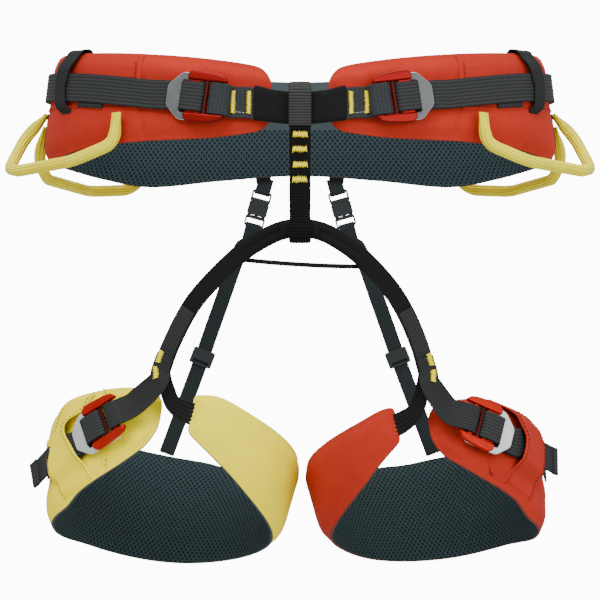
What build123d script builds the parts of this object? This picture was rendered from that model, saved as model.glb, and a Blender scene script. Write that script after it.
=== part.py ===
"""Climbing harness: padded waist belt, belay loop, leg bridge, two leg loops, gear loops and rear straps.

Millimetres. +Z is up and the front faces -Y. The wearer's right side is -X, the wearer's left side is +X.
The origin is the centre of the waist opening. Right-hand pieces are drawn and then mirrored to the left.
"""

import os
from math import asin, atan2, cos, degrees, radians, sin, sqrt

from build123d import *

# ---- driving dimensions -------------------------------------------------------------------------------
REACH = 300                      # longer than any wall or outline that is cut

WAIST_SIZE = (180, 110)          # semi-axes of the belt's outer face at the height of the origin
WAIST_FLARE = -0.12              # growth of those semi-axes per millimetre of height: wider at the hips
LEG_FLARE = 0.14                 # a leg loop is wider at the top of the thigh
LEG_LEAN = 0.155                 # and leans towards the other leg there

SHELL_LAYER = (-1.2, 0)          # layers of a pad, measured outwards from its outer face
FOAM_LAYER = (-7.3, -1.3)
LINING_LAYER = (-8.6, -7.4)
PANEL_LAYER = (0.1, 1.1)
WEBBING_LAYER = (1.3, 2.9)
TAIL_LAYER = (3.1, 4.7)
KEEPER_LAYER = (5.1, 6.5)

WEBBING_WIDTH = 20               # adjustable webbing at the waist and the legs
TIE_IN_WIDTH = 22                # sewn webbing between the waist buckles
STRAP_SLOPE = 0.12               # fall of the waist webbing towards the centre front
STRAP_BACK_HEIGHT = 22           # height of the webbing's middle round the back
PAD_GAP = 20                     # from the centre front to each pad's end

FRONT_DEPTH = 114                # distance of the belay loop's middle in front of the origin
LOOP_TOP, LOOP_BOTTOM = 17.8, -91  # belay loop
LOOP_WIDTH = 15
LOOP_DEPTH = 20
LOOP_THICKNESS = 3.4

REAR_TOP = (-29.6, 116.3, -37)   # middle of the right rear strap where it leaves the belt
REAR_LEAN = 0.0616               # growth of depth per millimetre of height along the rear straps
REAR_WIDTH = 11.5
REAR_THICKNESS = 1.4

GEAR_TUBE = 4.3                  # radius of the gear loops' tube

BUCKLE_AT_WAIST = (-70, 7.5)      # position on the belt: across, and height
BUCKLE_LIFT = 5                  # underside of the buckle's plate above the pad


# ---- outlines, drawn looking from the front with the height upwards -----------------------------------
def closed_outline(upper, lower):
    """A face between a smooth upper edge and a smooth lower edge, with straight sides."""
    with BuildSketch() as outline:
        with BuildLine():
            Spline(*upper)
            Spline(*lower)
            Line(upper[0], lower[0])
            Line(upper[-1], lower[-1])
        make_face()
    return outline.sketch


def rounded_outline(upper, lower, corner):
    """closed_outline with both corners of its last side rounded."""
    with BuildSketch() as outline:
        add(closed_outline(upper, lower))
        ends = outline.vertices().sort_by(Axis.X)
        ends = ends[-2:] if upper[-1][0] > upper[0][0] else ends[:2]
        fillet(ends, corner)
    return outline.sketch


def strip_outline(points, width):
    """A straight-sided strip of one width, measured upright, along a list of middle points."""
    upper = [(x, z + width / 2) for x, z in points]
    lower = [(x, z - width / 2) for x, z in reversed(points)]
    with BuildSketch() as strip:
        with BuildLine():
            Polyline(*upper, *lower, close=True)
        make_face()
    return strip.sketch


def ribbon_outline(points, width):
    """A strip of one width, measured across it, along a smooth line."""
    with BuildSketch() as ribbon:
        with BuildLine() as middle:
            Spline(*points)
        trace(middle.line, line_width=width)
    return ribbon.sketch


# ---- shared construction ------------------------------------------------------------------------------
def elevation_of(ring):
    """The upright plane through a ring's centre, seen from its front."""
    return Plane(origin=ring.origin, x_dir=ring.x_dir, z_dir=-ring.y_dir)


def cone(ring, size, flare, offset):
    """Full elliptical cone whose face lies an offset outside a ring's outer face."""
    half = REACH / 4
    with BuildPart() as solid:
        for height in (-half, half):
            with BuildSketch(ring.offset(height)):
                Ellipse(size[0] + flare * height + offset, size[1] + flare * height + offset)
        loft()
    return solid.part


def band(ring, size, flare, layer, front=None, back=None):
    """The stretch of one layer of a ring that lies inside the front and back outlines."""
    elevation = elevation_of(ring)
    with BuildPart() as trim:
        for outline, side in ((front, 1), (back, -1)):
            if outline is not None:
                with BuildSketch(elevation):
                    add(outline)
                extrude(amount=side * REACH)
    with BuildPart() as wall:
        add(cone(ring, size, flare, layer[1]))
        add(cone(ring, size, flare, layer[0]), mode=Mode.SUBTRACT)
        add(trim.part, mode=Mode.INTERSECT)
    return wall.part


def plane_on(ring, size, flare, across, height, lift, turn=0):
    """Plane on the front of a ring, lifted off its face. X runs along the ring and turns towards its up."""
    wide = size[0] + flare * height
    deep = size[1] + flare * height
    angle = asin(across / wide)
    along = Vector(wide * cos(angle), deep * sin(angle), 0).normalized()
    upward = Vector(flare * sin(angle), -flare * cos(angle), 1).normalized()
    outward = along.cross(upward)
    point = Vector(across, -deep * cos(angle), height) + outward * lift
    turned = along * cos(radians(turn)) + outward.cross(along) * sin(radians(turn))
    origin = ring.from_local_coords(point)
    tip_x = ring.from_local_coords(point + turned)
    tip_z = ring.from_local_coords(point + outward)
    return Plane(origin=origin, x_dir=tip_x - origin, z_dir=tip_z - origin)


def mirrored(part):
    """The same piece for the wearer's left side."""
    with BuildPart() as other:
        mirror(part, about=Plane.YZ)
    return other.part


def joined(*parts):
    """Separate solids, kept together in one piece."""
    with BuildPart() as group:
        for part in parts:
            add(part)
    return group.part


def block(plane, size, centre=(0, 0)):
    """A box that stands on a plane."""
    with BuildPart(plane) as box:
        with Locations((centre[0], centre[1], 0)):
            Box(*size, align=(Align.CENTER, Align.CENTER, Align.MIN))
    return box.part


# ---- double-plate buckle ------------------------------------------------------------------------------
PLATE = 2.4                      # thickness of the grey plate
PLATE_LEFT, PLATE_RIGHT = -20, 16
PLATE_HALF = 16.5
PLATE_TIP_HALF = 7               # half-height of the plate's free edge
PLATE_CORNER = 10                # length of the slanting corners
SLOT_HALF = 11.4
SLOT_LEFT, SLOT_RIGHT = -10.5, 0
FORK_LEFT = 4.4                  # the fork opening runs from here to the plate's end

SLIDER_BASE = 2.7                # underside of the red frame above the plate's underside
SLIDER_LEFT, SLIDER_RIGHT = -6, 22
SLIDER_HALF = 17.5
SLIDER_ARM = 3.4                 # thickness of its arms
SLIDER_BAR = 2.3                 # thickness of its bars
LOCKING_BAR = (-5, 4.8)          # the adjustable webbing folds over this bar
MIDDLE_BAR = (7, 9.6)
SEWN_BAR = (12.4, 16)            # the sewn webbing is looped round this one


def buckle_plate(plane):
    """Plate with a slanted free edge, a slot for the webbing and a fork that hugs the sewn webbing."""
    with BuildPart() as plate:
        with BuildSketch(plane):
            with BuildLine():
                Polyline(
                    (PLATE_LEFT, -PLATE_TIP_HALF),
                    (PLATE_LEFT, PLATE_TIP_HALF),
                    (PLATE_LEFT + PLATE_CORNER, PLATE_HALF),
                    (PLATE_RIGHT, PLATE_HALF),
                    (PLATE_RIGHT, -PLATE_HALF),
                    (PLATE_LEFT + PLATE_CORNER, -PLATE_HALF),
                    close=True,
                )
            make_face()
            with Locations(((SLOT_LEFT + SLOT_RIGHT) / 2, 0)):
                RectangleRounded(SLOT_RIGHT - SLOT_LEFT, 2 * SLOT_HALF, 1, mode=Mode.SUBTRACT)
            with Locations(((FORK_LEFT + PLATE_RIGHT + 2) / 2, 0)):
                Rectangle(PLATE_RIGHT + 2 - FORK_LEFT, 2 * SLOT_HALF, mode=Mode.SUBTRACT)
        extrude(amount=PLATE)
    return plate.part


def buckle_slider(plane):
    """Frame with two thick arms and three bars, for the folded webbing and the sewn webbing."""
    arm = SLIDER_HALF - SLOT_HALF
    length = SLIDER_RIGHT - SLIDER_LEFT
    raised = plane.offset(SLIDER_BASE)
    with BuildPart() as slider:
        with BuildSketch(raised):
            for side in (-1, 1):
                with Locations(((SLIDER_LEFT + SLIDER_RIGHT) / 2, side * (SLOT_HALF + arm / 2))):
                    RectangleRounded(length, arm, 2)
        extrude(amount=SLIDER_ARM)
        with BuildSketch(raised):
            for left, right in (LOCKING_BAR, MIDDLE_BAR, SEWN_BAR):
                with Locations(((left + right) / 2, 0)):
                    Rectangle(right - left, 2 * SLOT_HALF + 2)
        extrude(amount=SLIDER_BAR)
    return slider.part


FOLD_LEFT, FOLD_RIGHT = -9.8, 6.8
FOLD_TOP = 7
FOLD_BOTTOM = -1.9
CLOTH = 1.5                      # thickness of one layer of webbing


def buckle_fold(plane):
    """The adjustable webbing's turn over the locking bar, as an arch."""
    profile = Plane(origin=plane.origin, x_dir=plane.x_dir, z_dir=-plane.y_dir)
    width = FOLD_RIGHT - FOLD_LEFT
    height = FOLD_TOP - FOLD_BOTTOM
    with BuildPart() as fold:
        with BuildSketch(profile):
            with Locations(((FOLD_LEFT + FOLD_RIGHT) / 2, (FOLD_TOP + FOLD_BOTTOM) / 2)):
                RectangleRounded(width, height, 1.6)
            with Locations(((FOLD_LEFT + FOLD_RIGHT) / 2, (FOLD_TOP + FOLD_BOTTOM) / 2 - CLOTH)):
                Rectangle(width - 2 * CLOTH, height, mode=Mode.SUBTRACT)
        extrude(amount=WEBBING_WIDTH / 2, both=True)
    return fold.part


def sewn_end(plane, width, length):
    """The sewn webbing's loop round the slider's bar, running away from the buckle."""
    profile = Plane(origin=plane.origin, x_dir=plane.x_dir, z_dir=-plane.y_dir)
    left = SEWN_BAR[0] - 0.2 - CLOTH
    low = SLIDER_BASE - 0.2 - 2.2 * CLOTH
    high = SLIDER_BASE + SLIDER_BAR + 0.2 + CLOTH
    bar = SEWN_BAR[1] - SEWN_BAR[0] + 0.4
    with BuildPart() as end:
        with BuildSketch(profile):
            with Locations((left + length / 2, (low + high) / 2)):
                RectangleRounded(length, high - low, 1)
            with Locations(((SEWN_BAR[0] + SEWN_BAR[1]) / 2, SLIDER_BASE + SLIDER_BAR / 2)):
                Rectangle(bar, SLIDER_BAR + 0.4, mode=Mode.SUBTRACT)
        extrude(amount=width / 2, both=True)
    return end.part


# ---- waist belt ---------------------------------------------------------------------------------------
WAIST_SIDE_TOP, WAIST_SIDE_BOTTOM = 44, -32
WAIST_PANEL_END = -111           # front edge of the side panel
WAIST_PANEL_BOTTOM = 1
KEEPER_RIGHT = -162
KEEPER_WIDTH = 12

waist_ring = Plane.XY
right_front = rounded_outline(
    [(-195, 44), (-140, 41.6), (-83, 36.8), (-40, 31), (-PAD_GAP, 26)],
    [(-195, -34), (-155, -24), (-118, -20.2), (-60, -18.2), (-PAD_GAP, -13)],
    11,
)
waist_back = closed_outline(
    [(-195, 44), (-100, 39), (0, 33.7), (100, 39), (195, 44)],
    [
        (-195, -29),
        (-184, -31),
        (-150, -39.5),
        (-114, -44.5),
        (-60, -39),
        (0, -35),
        (60, -39),
        (114, -44.5),
        (150, -39.5),
        (184, -31),
        (195, -29),
    ],
)
with BuildSketch() as waist_front:
    add(right_front)
    mirror(about=Plane.YZ)


def belt(layer, front=None, back=None):
    return band(waist_ring, WAIST_SIZE, WAIST_FLARE, layer, front, back)


def strap_height(across):
    """Height of the waist webbing's middle, which falls towards the centre front."""
    return STRAP_SLOPE * abs(across)


waist_plane = plane_on(
    waist_ring, WAIST_SIZE, WAIST_FLARE, *BUCKLE_AT_WAIST, BUCKLE_LIFT, turn=-degrees(atan2(STRAP_SLOPE, 1))
)
waist_frame = buckle_plate(waist_plane)
waist_slider = buckle_slider(waist_plane)
waist_fold = buckle_fold(waist_plane)

side_line = [(-195, strap_height(195)), (-65, strap_height(65))]
tail_line = [(-195, strap_height(195)), (-82, strap_height(82))]
back_line = [(-195, STRAP_BACK_HEIGHT), (195, STRAP_BACK_HEIGHT)]
tail_back_line = [(-195, STRAP_BACK_HEIGHT), (-168, STRAP_BACK_HEIGHT)]

with BuildSketch() as strap_front:
    add(strip_outline(side_line, WEBBING_WIDTH))
    mirror(about=Plane.YZ)
strap_back = strip_outline(back_line, WEBBING_WIDTH)

panel_outline = closed_outline(
    [(-195, 42.5), (-140, 40.5), (WAIST_PANEL_END, 37.5)],
    [(-195, WAIST_PANEL_BOTTOM + 3), (-140, WAIST_PANEL_BOTTOM + 0.5), (WAIST_PANEL_END, WAIST_PANEL_BOTTOM)],
)
panel_back = closed_outline(
    [(-195, 42.5), (-150, 41), (-120, 39)],
    [(-195, WAIST_PANEL_BOTTOM + 3), (-150, WAIST_PANEL_BOTTOM), (-120, WAIST_PANEL_BOTTOM)],
)

keeper_middle = KEEPER_RIGHT - KEEPER_WIDTH / 2
keeper_line = [(keeper_middle - KEEPER_WIDTH / 2, 22.5), (KEEPER_RIGHT, 22.5)]
with BuildPart() as waist_keeper:
    add(belt((PANEL_LAYER[1] + 0.2, KEEPER_LAYER[1]), strip_outline(keeper_line, 38)))
    add(belt((0, KEEPER_LAYER[0]), strip_outline(keeper_line, 31)), mode=Mode.SUBTRACT)

tie_plane = Plane(origin=(0, -FRONT_DEPTH, 0), x_dir=(1, 0, 0), z_dir=(0, -1, 0))
TIE_IN_END = -54                 # the sewn webbing's straight front run ends here, before the buckle
SLEEVE_END = -30
SLEEVE_HEIGHT = 23
SLEEVE_LAYER = (0.6, 6.4)
TIE_IN_LAYER = (2.1, 4.9)

tie_in_line = [(TIE_IN_END, strap_height(TIE_IN_END)), (-8, 1), (8, 1), (-TIE_IN_END, strap_height(TIE_IN_END))]
sleeve_line = [(SLEEVE_END, strap_height(SLEEVE_END)), (-8, 1), (8, 1), (-SLEEVE_END, strap_height(SLEEVE_END))]
tie_in_run = belt(TIE_IN_LAYER, strip_outline(tie_in_line, TIE_IN_WIDTH))
with BuildPart() as tie_in_sleeve:
    add(belt(SLEEVE_LAYER, strip_outline(sleeve_line, SLEEVE_HEIGHT)))
    add(belt((1.9, 5.1), strip_outline(tie_in_line, TIE_IN_WIDTH + 0.4)), mode=Mode.SUBTRACT)

BARTACK = (3, 15.5, 0.8)         # across, up, thick
BARTACK_SPOTS = (-34.8, -45.9)


def waist_bartack(across):
    """One dense zigzag across the sewn webbing."""
    lift = TIE_IN_LAYER[1] + 0.1
    spot = plane_on(
        waist_ring, WAIST_SIZE, WAIST_FLARE, across, strap_height(across), lift,
        turn=-degrees(atan2(STRAP_SLOPE, 1)),
    )
    return block(spot, BARTACK)


sewn_right = sewn_end(waist_plane, TIE_IN_WIDTH, 12.2)
with BuildPart() as tie_in_webbing:
    add(tie_in_run)
    add(sewn_right)
    add(mirrored(sewn_right))
right_bartacks = joined(*[waist_bartack(across) for across in BARTACK_SPOTS])

# ---- belay loop and the bridge that hangs in it -------------------------------------------------------
loop_plane = Plane(origin=(0, -FRONT_DEPTH, 0), x_dir=(0, 1, 0), z_dir=(1, 0, 0))
loop_middle = (LOOP_TOP + LOOP_BOTTOM) / 2
loop_length = LOOP_TOP - LOOP_BOTTOM
with BuildPart() as belay_loop:
    with BuildSketch(loop_plane):
        with Locations((0, loop_middle)):
            RectangleRounded(LOOP_DEPTH, loop_length, LOOP_DEPTH / 2 - 1)
            RectangleRounded(
                LOOP_DEPTH - 2 * LOOP_THICKNESS,
                loop_length - 2 * LOOP_THICKNESS,
                LOOP_DEPTH / 2 - LOOP_THICKNESS - 1,
                mode=Mode.SUBTRACT,
            )
    extrude(amount=LOOP_WIDTH / 2, both=True)

LOOP_TACK = (10, 4, 0.8)
LOOP_TACK_HEIGHTS = (-18, -28, -38.5, -48.5)
loop_face = Plane(origin=(0, -FRONT_DEPTH - LOOP_DEPTH / 2 - 0.05, 0), x_dir=(1, 0, 0), z_dir=(0, -1, 0))
with BuildPart(loop_face) as belay_loop_bartacks:
    with Locations(*[(0, height, 0) for height in LOOP_TACK_HEIGHTS]):
        Box(*LOOP_TACK, align=(Align.CENTER, Align.CENTER, Align.MIN))

BRIDGE_HALF = 9                  # half-length of the sleeve inside the belay loop
BRIDGE_HEIGHT, BRIDGE_THICKNESS = 11.6, 9.5
BRIDGE_Z = LOOP_BOTTOM + LOOP_THICKNESS + BRIDGE_HEIGHT / 2 + 0.6
with BuildPart() as leg_bridge_sleeve:
    with BuildSketch(Plane(origin=(0, -FRONT_DEPTH, BRIDGE_Z), x_dir=(0, 1, 0), z_dir=(1, 0, 0))):
        RectangleRounded(BRIDGE_THICKNESS, BRIDGE_HEIGHT, 3.5)
    extrude(amount=BRIDGE_HALF, both=True)

# ---- gear loops ---------------------------------------------------------------------------------------
front_gear_route = [
    (-126.5, -86.5, -1),
    (-127.5, -88, -22),
    (-158, -78, -34),
    (-199, -40, -39),
    (-208.5, -8, -36),
    (-201, 9, -16),
    (-188, 9, 4),
]
front_gear_radii = [12, 30, 20, 12, 18]
rear_gear_route = [
    (-185.5, 27, -4),
    (-191, 30, -26),
    (-187, 48, -41),
    (-158, 88, -48.5),
    (-126, 110, -46.5),
    (-115, 107, -26),
    (-113, 96.5, -4),
]
rear_gear_radii = [14, 16, 30, 14, 18]


def gear_loop(route, radii):
    """Bent tube, cut square at both ends."""
    with BuildPart() as loop:
        with BuildLine() as path:
            FilletPolyline(*route, radius=radii)
        start = path.line @ 0
        with BuildSketch(Plane(origin=start, z_dir=path.line % 0)):
            Circle(GEAR_TUBE)
        sweep(path=path.line)
    return loop.part


# ---- rear straps with their release buckles and adjusters ---------------------------------------------
rear_plane = Plane(origin=REAR_TOP, x_dir=(1, 0, 0), z_dir=(0, -1, REAR_LEAN))
BUCKLE_MIDDLE = (-2.3, -23.5)    # in the rear plane, from REAR_TOP
BUCKLE_ANGLE = -15.5             # lean of the release buckle
KINK = (-46.9, -143.3)           # where the lower strap turns, in the rear plane
STRAP_END = (-71.5, -210)
ADJUSTER_AT = 0.94               # place of the adjuster between the release buckle and the kink
RELEASE_HALF_WIDTH = 7.6
RELEASE_THICKNESS = 5
EYE = (12.6, 4)                # opening of each end's slot


def tilted(plane, origin, angle):
    """A plane in the same surface, moved and turned from upright."""
    start = plane.from_local_coords(Vector(origin[0], origin[1], 0))
    across = plane.x_dir * cos(radians(angle)) + plane.y_dir * sin(radians(angle))
    return Plane(origin=start, x_dir=across, z_dir=plane.z_dir)


release_plane = tilted(rear_plane, BUCKLE_MIDDLE, BUCKLE_ANGLE)
release_mid = release_plane.offset(REAR_THICKNESS / 2 - RELEASE_THICKNESS / 2)


def release_female():
    """Socket open at the bottom and both sides, with a slotted eye above."""
    with BuildPart() as socket:
        with BuildSketch(release_mid):
            with Locations((0, -0.5)):
                RectangleRounded(2 * RELEASE_HALF_WIDTH, 10, 1.5)
        extrude(amount=RELEASE_THICKNESS)
        with BuildSketch(release_mid.offset(1.1)):
            with Locations((0, -2.5)):
                Rectangle(2 * RELEASE_HALF_WIDTH + 2, 8, mode=Mode.ADD)
        extrude(amount=RELEASE_THICKNESS - 2.2, mode=Mode.SUBTRACT)
        with BuildSketch(release_mid.offset(1)):
            with Locations((0, 8.9)):
                RectangleRounded(2 * RELEASE_HALF_WIDTH, 9.6, 2)
            with Locations((0, 9.6)):
                RectangleRounded(*EYE, 0.3, mode=Mode.SUBTRACT)
        extrude(amount=RELEASE_THICKNESS - 2)
    return socket.part


def release_male():
    """Slotted eye with two spring prongs and a guide tongue that slide into the socket."""
    with BuildPart() as plug:
        with BuildSketch(release_mid.offset(1.3)):
            with Locations((0, -10.4)):
                RectangleRounded(2 * RELEASE_HALF_WIDTH, 9, 2)
            with Locations((0, -10.5)):
                RectangleRounded(*EYE, 0.3, mode=Mode.SUBTRACT)
            with Locations((-5.6, -3.6), (5.6, -3.6)):
                RectangleRounded(2.6, 6.6, 0.8)
            with Locations((0, -4)):
                RectangleRounded(2.4, 6, 0.8)
        extrude(amount=RELEASE_THICKNESS - 2.6)
    return plug.part


def eye_loop(plane, middle, upward):
    """End of a strap, turned round an eye's bar. The strap leaves upwards or downwards."""
    profile = Plane(origin=plane.origin, x_dir=plane.y_dir, z_dir=plane.x_dir)
    deep = RELEASE_THICKNESS - 2 + 0.6
    with BuildPart() as loop:
        with BuildSketch(profile):
            with Locations((middle + upward * 0.9, REAR_THICKNESS / 2)):
                RectangleRounded(6, deep + 2.2, 1)
            with Locations((middle, REAR_THICKNESS / 2)):
                Rectangle(2.8, deep, mode=Mode.SUBTRACT)
        extrude(amount=REAR_WIDTH / 2, both=True)
    return loop.part


UPPER_BAR, LOWER_BAR = 12.65, -13.7
upper_strap_end = (BUCKLE_MIDDLE[0] + 4.2, BUCKLE_MIDDLE[1] + 15.7)
with BuildPart() as rear_strap_upper:
    add(eye_loop(release_plane, UPPER_BAR, 1))
    with BuildSketch(rear_plane):
        with BuildLine():
            Polyline(
                (-REAR_WIDTH / 2 + 0.5, 30),
                (REAR_WIDTH / 2 + 0.5, 30),
                (upper_strap_end[0] + REAR_WIDTH / 2, upper_strap_end[1] - 1.5),
                (upper_strap_end[0] - REAR_WIDTH / 2, upper_strap_end[1] + 1.5),
                close=True,
            )
        make_face()
    extrude(amount=REAR_THICKNESS)

strap_start = (BUCKLE_MIDDLE[0] - 4.3, BUCKLE_MIDDLE[1] - 15.3)
with BuildPart() as rear_strap_lower:
    add(eye_loop(release_plane, LOWER_BAR, -1))
    with BuildSketch(rear_plane):
        with BuildLine() as lower_line:
            Polyline(strap_start, KINK, STRAP_END)
        trace(lower_line.line, line_width=REAR_WIDTH)
    extrude(amount=REAR_THICKNESS)

ADJUSTER = (17, 12.5)            # width and length of the ladder lock
fall = (KINK[0] - strap_start[0], KINK[1] - strap_start[1])
adjuster_middle = (strap_start[0] + ADJUSTER_AT * fall[0], strap_start[1] + ADJUSTER_AT * fall[1])
adjuster_plane = tilted(rear_plane, adjuster_middle, -degrees(atan2(-fall[0], -fall[1])))
with BuildPart() as rear_adjuster:
    with BuildSketch(adjuster_plane.offset(-1.6)):
        RectangleRounded(*ADJUSTER, 1.5)
    extrude(amount=REAR_THICKNESS + 3.2)
    with BuildSketch(adjuster_plane.offset(-0.25)):
        Rectangle(REAR_WIDTH + 0.8, ADJUSTER[1] + 2)
    extrude(amount=REAR_THICKNESS + 0.5, mode=Mode.SUBTRACT)
    with BuildSketch(adjuster_plane.offset(REAR_THICKNESS)):
        with Locations((0, -3.6)):
            Rectangle(REAR_WIDTH + 0.4, 2)
    extrude(amount=4, mode=Mode.SUBTRACT)


# ---- leg loops ----------------------------------------------------------------------------------------
ARM_PLANE = Plane(origin=(0, -FRONT_DEPTH, 0), x_dir=(-0.963, 0.268, 0), z_dir=(0.268, 0.963, 0))
ARM_WIDTH, ARM_THICKNESS = 12.4, 6
TACK_SIDE = 4                    # the riser's bar tacks lie along its outer half


# Edges of each pad seen from its front, drawn for a right leg. The inner thigh is at +X.
RIGHT_PAD = {
    "outer": (
        [(-95, 17), (-85, 20.5), (-66, 21), (-41, 22), (-12, 21)],
        [(-95, -58), (-72, -58), (-61, -48), (-35, -31), (-12, -11)],
    ),
    "inner": (
        [(9, 21.5), (28, 24.5), (56, 20), (79, 18), (95, 18)],
        [(7, 0), (13, -6), (41, -22), (68, -36), (95, -44)],
    ),
    "back": (
        [(-95, 17), (-60, 34), (-31, 39.5), (15, 40), (38, 35.5), (70, 24), (95, 18)],
        [(-95, -58), (-81, -57), (-64, -51), (-46, -48), (10, -45), (59, -41), (83, -40.5), (95, -44)],
    ),
    "keeper": (
        [(-60, 20), (-67, 5), (-72, -7), (-66, -25), (-53, -42)],
        [(-80, 20), (-85, 5), (-84.5, -10), (-80, -30), (-70, -47)],
    ),
}
LEFT_PAD = {
    "outer": (
        [(-95, 15), (-83, 16.5), (-65, 20), (-45, 24), (-5, 21)],
        [(-95, -56), (-70, -56), (-59, -44), (-34, -28.5), (-5, -9)],
    ),
    "inner": (
        [(18, 24.5), (28, 24.5), (48, 20.5), (77, 17.5), (95, 18)],
        [(14, 4), (36, -11), (50, -21.5), (74, -34.5), (95, -40)],
    ),
    "back": (
        [(-95, 15), (-60, 30), (-17, 34), (12, 33), (36, 32), (70, 23), (95, 18)],
        [(-95, -56), (-77, -56), (-62, -50), (-47, -47), (-6, -45), (50, -41), (80, -36), (95, -38)],
    ),
    "keeper": (
        [(-58, 20), (-62.5, 6), (-66, -5), (-62, -21), (-52, -35)],
        [(-72, 18), (-78, 6), (-80, -5), (-76, -23), (-67, -40)],
    ),
}


def leg_outlines(pad):
    """Front and back outlines of a leg loop."""
    with BuildSketch() as front:
        add(rounded_outline(*pad["outer"], 12))
        add(closed_outline(*pad["inner"]))
    return front.sketch, closed_outline(*pad["back"])


def leg_loop(pad, centre, size, tilt, buckle, turn, split, tail):
    """Every piece of one leg loop, drawn for the wearer's right leg.

    size is its semi-axes, tilt leans it back, buckle and turn place the buckle on it, split is the point
    where the bridge's arm divides into the riser and the inner strap, and tail is the way the free end of
    the webbing sticks out.
    """
    lean = radians(tilt)
    ring = Plane(
        origin=(centre[0], 0, centre[1]),
        x_dir=(1, 0, -LEG_LEAN / cos(lean)),
        z_dir=(LEG_LEAN, sin(lean), cos(lean)),
    )

    def leg_band(layer, front=None, back=None):
        return band(ring, size, LEG_FLARE, layer, front, back)

    front, back = leg_outlines(pad)
    on_leg = plane_on(ring, size, LEG_FLARE, *buckle, BUCKLE_LIFT, turn=turn)
    slope = sin(radians(turn)) / cos(radians(turn))

    def on_line(across):
        """Height of the leg webbing's middle at a place across the loop."""
        return buckle[1] + slope * 0.78 * (across - buckle[0])

    tall = WEBBING_WIDTH / cos(radians(turn))
    webbing_line = [(-95, on_line(-95)), (buckle[0] + 5, on_line(buckle[0] + 5))]
    tail_line = [(-80, on_line(-80)), (buckle[0] - 11, on_line(buckle[0] - 11))]
    webbing_back = strip_outline([(-95, on_line(-95) + 1), (-84, on_line(-95) - 2)], tall)
    tail_base = plane_on(ring, size, LEG_FLARE, -80, on_line(-80), TAIL_LAYER[0], turn=turn)
    reach = Vector(*tail)
    tail_plane = Plane(
        origin=tail_base.origin,
        x_dir=reach,
        z_dir=tail_base.z_dir - reach * (tail_base.z_dir.dot(reach) / reach.dot(reach)),
    )
    riser_top = Vector(*split)
    riser_end = on_leg.from_local_coords((24, 0, 4))
    riser_mid = (riser_top + riser_end) / 2
    run = riser_top - riser_end
    facing = Vector(0, -1, 0)
    riser_plane = Plane(origin=riser_mid, x_dir=run, z_dir=facing - run * (facing.dot(run) / run.dot(run)))
    inner_end = plane_on(ring, size, LEG_FLARE, pad["inner"][0][0][0] + 1, 12, 7.6)
    inner_run = riser_top - inner_end.origin
    inner_mid = (riser_top + inner_end.origin) / 2
    inner_plane = Plane(
        origin=inner_mid,
        x_dir=inner_run,
        z_dir=facing - inner_run * (facing.dot(inner_run) / inner_run.dot(inner_run)),
    )
    length = sqrt(run.dot(run))
    with BuildPart() as riser:
        with BuildSketch(riser_plane.offset(-1.5)):
            Rectangle(length - 3, 18)
        extrude(amount=3)
        add(sewn_end(on_leg, WEBBING_WIDTH, 12))
    with BuildPart() as inner_strap:
        with BuildSketch(inner_plane.offset(-4)):
            with BuildLine():
                half = sqrt(inner_run.dot(inner_run)) / 2
                Polyline((half - 4, -6), (half - 4, 6), (-half, 11), (-half, -11), close=True)
            make_face()
        extrude(amount=2)
    with BuildPart() as tacks:
        with BuildSketch(riser_plane.offset(1.6)):
            with Locations((length / 2 - 5, TACK_SIDE), (length / 2 - 15, TACK_SIDE)):
                Rectangle(8.5, 3.6)
        extrude(amount=0.8)
    pieces = {
        "leg_shell": leg_band(SHELL_LAYER, front, back),
        "leg_foam": leg_band(FOAM_LAYER, front, back),
        "leg_lining": leg_band(LINING_LAYER, front, back),
        "leg_webbing": joined(
            leg_band(WEBBING_LAYER, strip_outline(webbing_line, tall), webbing_back),
            leg_band(TAIL_LAYER, strip_outline(tail_line, tall)),
            buckle_fold(on_leg),
            block(tail_plane, (reach.length, WEBBING_WIDTH, 3), (reach.length / 2 + 2, 0)),
        ),
        "leg_keeper": leg_band(KEEPER_LAYER, closed_outline(*pad["keeper"])),
        "leg_riser": riser.part,
        "leg_riser_bartacks": tacks.part,
        "leg_inner_strap": inner_strap.part,
        "leg_buckle_slider": buckle_slider(on_leg),
        "leg_buckle_frame": buckle_plate(on_leg),
    }
    return pieces, on_leg


def bridge_arm(points):
    """One arm of the bridge, from the belay loop down to where it divides."""
    with BuildPart() as arm:
        with BuildSketch(ARM_PLANE.offset(-ARM_THICKNESS / 2)):
            add(ribbon_outline(points, ARM_WIDTH))
        extrude(amount=ARM_THICKNESS)
    return arm.part


RIGHT_ARM = [(11, -82), (24, -87), (42, -98), (64, -118), (79, -136), (92, -160), (99, -178)]
LEFT_ARM = [(11, -82), (24, -87), (42, -99), (62, -119), (75, -138), (85, -160), (91, -180)]
RIGHT_SPLIT = (-97, -89, -186)
LEFT_SPLIT = (-89, -91, -188)

right_leg, right_leg_plane = leg_loop(
    RIGHT_PAD, (-91.7, -250), (89, 87), 25, buckle=(-50, -9), turn=27, split=RIGHT_SPLIT, tail=(-13.5, 12, -12.5)
)
left_leg, left_leg_plane = leg_loop(
    LEFT_PAD, (-90.6, -254), (84.5, 85), 21, buckle=(-42, 1), turn=22, split=LEFT_SPLIT, tail=(-9, 9, -3.5)
)

SPREADER = (3.2, 1.6)            # height and thickness of the strap that ties the two arms together
with BuildPart() as leg_spreader:
    with BuildSketch(Plane.XZ.offset(FRONT_DEPTH - 16.4)):
        with BuildLine() as spread_line:
            Line((-42, -102), (42, -107))
        trace(spread_line.line, line_width=SPREADER[0])
    extrude(amount=SPREADER[1])

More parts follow.
